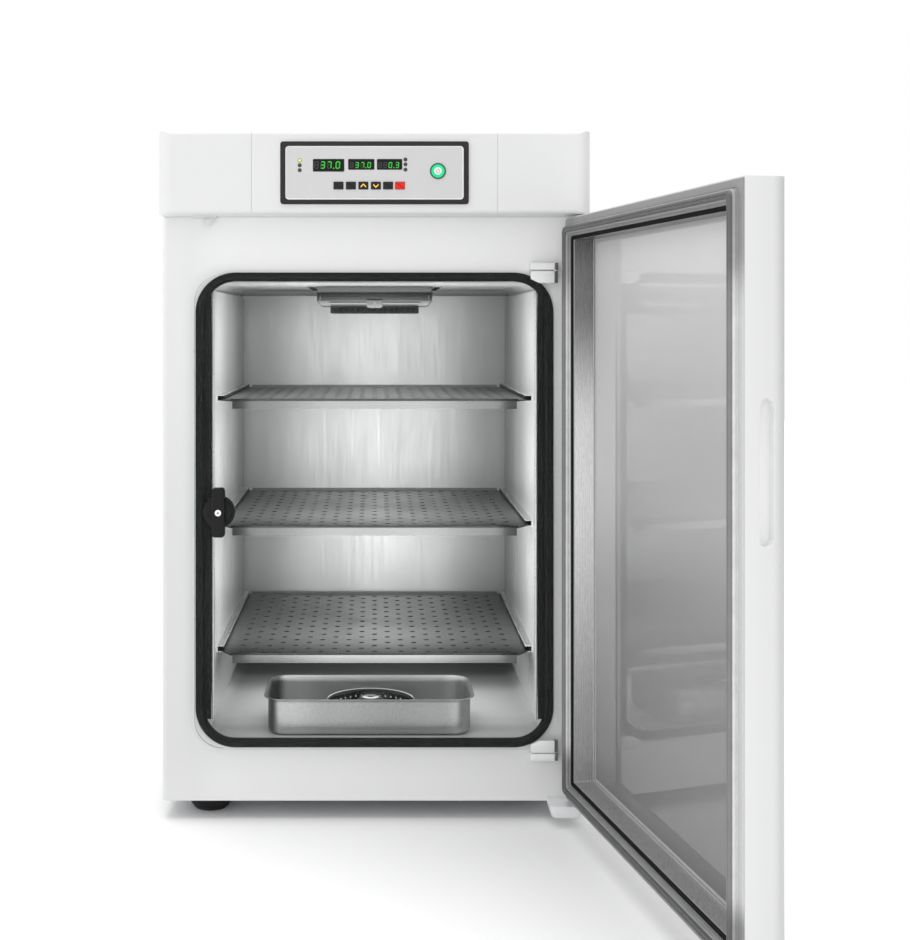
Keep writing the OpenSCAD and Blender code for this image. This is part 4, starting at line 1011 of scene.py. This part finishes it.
def dot(b, x, z, r=0.75):
    lathe(b, (x, 0, z), "Y", [(0, -63.95), (r, -63.95), (r, -63.72)], 0, 16)


def panel():
    b = Build()
    for x, z, w, h, t, ch in ((-73.3, 948, 6.4, 10.4, 1.35, "3"), (-63.9, 948, 6.4, 10.4, 1.35, "7"), (-51.9, 948, 6.4, 10.4, 1.35, "0"), (-82.2, 948, 6.4, 10.4, 1.35, ""),
                              (-24.8, 948, 5.2, 8.3, 1.1, "3"), (-17.0, 948, 5.2, 8.3, 1.1, "7"), (-7.6, 948, 5.2, 8.3, 1.1, "0"), (-32.2, 948, 5.2, 8.3, 1.1, ""),
                              (8.0, 948, 5.2, 8.3, 1.1, ""), (15.2, 948, 5.2, 8.3, 1.1, ""), (22.4, 948, 5.2, 8.3, 1.1, "0"), (32.2, 948, 5.2, 8.3, 1.1, "3")):
        digit(b, x, z, w, h, t, SEG.get(ch, ""))
    dot(b, -57.9, 943.4, 0.9), dot(b, -12.3, 944.3), dot(b, 27.3, 944.3)
    put(b, "display_digits", ["green", "green_dim"], "cabinet", (), 0)

    # frames round the three windows
    b = Build()
    for x, dz, w, h in ((-65, 10.6, 44, 17.5), (-18.7, 11.9, 36.8, 14.8), (21.3, 11.9, 35.5, 14.8)):
        ring_sweep(b, x, 937 + dz, w, h, 1.2, [(0.3, -63.9), (0.2, -64.25), (-0.4, -64.35), (-1.0, -64.2), (-1.1, -63.6), (0.3, -63.6)], 0, 4)
    put(b, "window_frames", ["bezel"], "cabinet")

    b = Build()
    ring_sweep(b, 0, 937, 252.4, 76.0, 5.2, [(0.0, -64.0), (-0.35, -64.5), (-1.1, -64.55), (-1.7, -64.1), (-1.7, -63.8), (0.0, -63.8)], 0, 8)
    ring_sweep(b, 0, 937, 266.6, 88.9, 5.0, [(1.1, -62.05), (0.9, -62.5), (0.3, -62.6), (0.0, -62.3), (0.0, -61.9), (1.1, -61.9)], 0, 8)
    put(b, "panel_edges", ["edge_white"], "cabinet")
    # corners of the black frame that round in to the plate
    b = Build()
    for sx in (-1, 1):
        for sz in (-1, 1):
            cx, cz = sx * (126.3 - 5.2), 937 + sz * (38.1 - 5.2)
            pts = [(sx * 126.35, 937 + sz * 38.15)] + [(cx + sx * 5.2 * math.cos(a), cz + sz * 5.2 * math.sin(a)) for a in np.linspace(0, math.pi / 2, 9)]
            prism(b, pts, -64.45, -63.7, 0)
    put(b, "bezel_corners", ["bezel"], "cabinet", (), 20)

    b = Build()
    for i, (x, dz) in enumerate(((-105.9, 17.6), (-105.9, 10.6), (-105.9, 3.7), (43.7, 18.8), (43.7, 12.0), (43.7, 4.5))):
        c = (x, 0, 937 + dz)
        lathe(b, c, "Y", [(0, -64.9), (0.9, -64.84), (1.7, -64.6), (2.15, -64.3), (2.2, -63.8)], 1 if i == 0 else 0, 28)
        lathe(b, c, "Y", [(2.2, -63.9), (2.3, -64.25), (2.6, -64.3), (2.8, -64.1), (2.8, -62.5)], 2, 28)
    put(b, "lamp_domes", ["lamp_off", "lamp_on", "bezel"], "cabinet", ["indicator_lamps"], 50)

    def chevron(name, x, up, body):
        b = Build()
        s = 1 if up else -1
        w, h, t = 3.7, 2.0, 1.25
        o = [(-w, -h), (0, h), (w, -h), (w, -h + t * 1.45), (0, h + t * 1.35), (-w, -h + t * 1.45)]
        o = [(x + p, 918.6 + s * (q - 0.6)) for p, q in o]
        prism(b, [o[0], o[1], o[4], o[5]], -65.62, -65.38, 0.04)
        prism(b, [o[1], o[2], o[3], o[4]], -65.62, -65.38, 0.04)
        put(b, name, ["amber"], body, (), 20)

    chevron("chevron_up", -15.8, True, "up_key")
    chevron("chevron_down", 1.9, False, "down_key")
    keys = {"menu": -51, "mode": -33.4, "up": -15.8, "down": 1.9, "enter": 19.1, "stop": 36}
    for k, x in keys.items():
        b = Build()
        p, q = rounded_rect(13.6, 10.5, 1.2, 5)
        rows = []
        for o, y in ((0, -64.2), (0, -65.0), (-0.12, -65.25), (-0.4, -65.38), (-0.9, -65.4), (-1.3, -65.3), (-1.6, -65.28)):
            rows.append(np.stack([x + p[:, 0] + q[:, 0] * o, np.full(len(p), y), 918.9 + p[:, 1] + q[:, 1] * o], -1))
        v, f = loop_faces(rows)
        n = len(p)
        f.append(tuple(range(len(v) - n, len(v))))
        f.append(tuple(range(n))[::-1])
        b.add(v, f)
        put(b, k + "_cap", ["key_red" if k == "stop" else "key"], k + "_key", ["key_" + k], 40)

    b = Build()
    c = (89.7, 0, 939.4)
    lathe(b, c, "Y", [(9.5, -62.5), (9.5, -65.0), (9.8, -65.35), (10.5, -65.5), (11.1, -65.3), (11.35, -64.9), (11.35, -63.9)], 0, 56)
    put(b, "power_surround", ["ring"], "cabinet", ["power_button_ring"], 45)
    b = Build()
    lathe(b, c, "Y", [(0, -66.0), (5.6, -66.0), (5.9, -66.3), (8.2, -66.35), (9.0, -66.1), (9.3, -65.5), (9.3, -62.6), (0, -62.6)], 0, 56)
    lathe(b, c, "Y", [(0, -66.4), (4.6, -66.4), (5.3, -66.3), (5.6, -65.9)], 1, 56)
    put(b, "power_cap", ["ring_green", "cap_white"], "power_button", ["power_button_cap"], 45)
    b = Build()
    n = 28
    a = np.radians(np.linspace(122, 418, n))
    out = [(89.7 + 2.9 * math.cos(t), 939.0 + 2.9 * math.sin(t)) for t in a]
    inn = [(89.7 + 2.2 * math.cos(t), 939.0 + 2.2 * math.sin(t)) for t in a]
    for i in range(n - 1):
        prism(b, [out[i], out[i + 1], inn[i + 1], inn[i]], -66.52, -66.38)
    box(b, (89.35, -66.52, 939.4), (90.05, -66.38, 942.6))
    put(b, "power_glyph", ["glyph"], "power_button", (), 0)


panel()


# ------------------------------------------------------------------ floor, light, camera
def stage():
    b = Build()
    n = 24
    xs = np.linspace(-6000, 6000, n)
    ys = np.linspace(-6000, 9000, n)
    rows = [[(x, y, 0.0) for x in xs] for y in ys]
    v, f = loop_faces(rows, False, False)
    b.add(v, f)
    m, nt, bs = new_mat("floor_pale")
    u = coords(nt)
    c = ramp(nt, noise(nt, u, 1.3, 4), [(0.3, (0.93, 0.93, 0.93)), (0.7, (0.95, 0.95, 0.95))])
    nt.links.new(c, bs.inputs["Base Color"])
    nt.links.new(remap(nt, noise(nt, u, 20, 3), 0.3, 0.7, 0.75, 0.85), bs.inputs["Roughness"])
    nt.links.new(bump(nt, noise(nt, u, 250, 3), 0.05, 0.0005), bs.inputs["Normal"])
    bs.inputs["Specular IOR Level"].default_value = 0.1
    o = b.make("floor", [m], 0)


def area(name, loc, look, size, power, col=(1, 1, 1), size_y=None, spread=180):
    d = bpy.data.lights.new(name, "AREA")
    d.shape = "RECTANGLE"
    d.size = size
    d.size_y = size_y or size
    d.energy = power
    d.color = col
    d.spread = math.radians(spread)
    o = bpy.data.objects.new(name, d)
    bpy.context.scene.collection.objects.link(o)
    o.location = loc
    o.rotation_euler = (Vector(look) - Vector(loc)).to_track_quat("-Z", "Y").to_euler()
    return o


stage()
sd = bpy.data.lights.new("overhead", "SUN")
sd.energy = 1.3
sd.angle = math.radians(50)
so = bpy.data.objects.new("overhead", sd)
bpy.context.scene.collection.objects.link(so)
so.location = (0.25, 0.2, 4)
inside = area("chamber_fill", (0.245, -0.052, 0.49), (0.245, 1.0, 0.49), 0.38, 2.3, size_y=0.52)
inside.visible_camera = False
below = area("shelf_fill", (0.245, 0.14, 0.218), (0.245, 0.1401, 0.0), 0.40, 0.30, size_y=0.24)
below.visible_camera = False
area("key", (-1.2, -2.6, 2.6), (0.2, 0.1, 0.5), 2.2, 3.5, size_y=2.2)
area("front", (0.15, -3.6, 0.9), (0.25, 0.0, 0.5), 2.6, 4.0, size_y=2.0)
world = bpy.data.worlds.new("studio")
bpy.context.scene.world = world
world.use_nodes = True
wn = world.node_tree.nodes["Background"]
wn.inputs["Color"].default_value = (1, 1, 1, 1)
wn.inputs["Strength"].default_value = 1.0
wt = world.node_tree
tc = N(wt, "ShaderNodeTexCoord")
sx = N(wt, "ShaderNodeSeparateXYZ")
wt.links.new(tc.outputs["Generated"], sx.inputs[0])
side = ramp(wt, remap(wt, sx.outputs[0], -1, 1, 0, 1), [(0.0, (1.1, 1.1, 1.1)), (0.2, (1, 1, 1)), (0.78, (1, 1, 1)), (1.0, (0.25, 0.25, 0.25))], "EASE")
wt.links.new(side, wn.inputs["Color"])

cd = bpy.data.cameras.new("view")
cam = bpy.data.objects.new("view", cd)
bpy.context.scene.collection.objects.link(cam)
cam.location = (0.245, -2.178, 0.720)
cam.rotation_euler = (math.radians(90), 0, 0)
cd.lens = 55.53
cd.sensor_width = 36
cd.sensor_fit = "AUTO"
cd.shift_x = 0.0856
cd.shift_y = -0.153
bpy.context.scene.camera = cam
bpy.context.scene.view_settings.view_transform = "Standard"
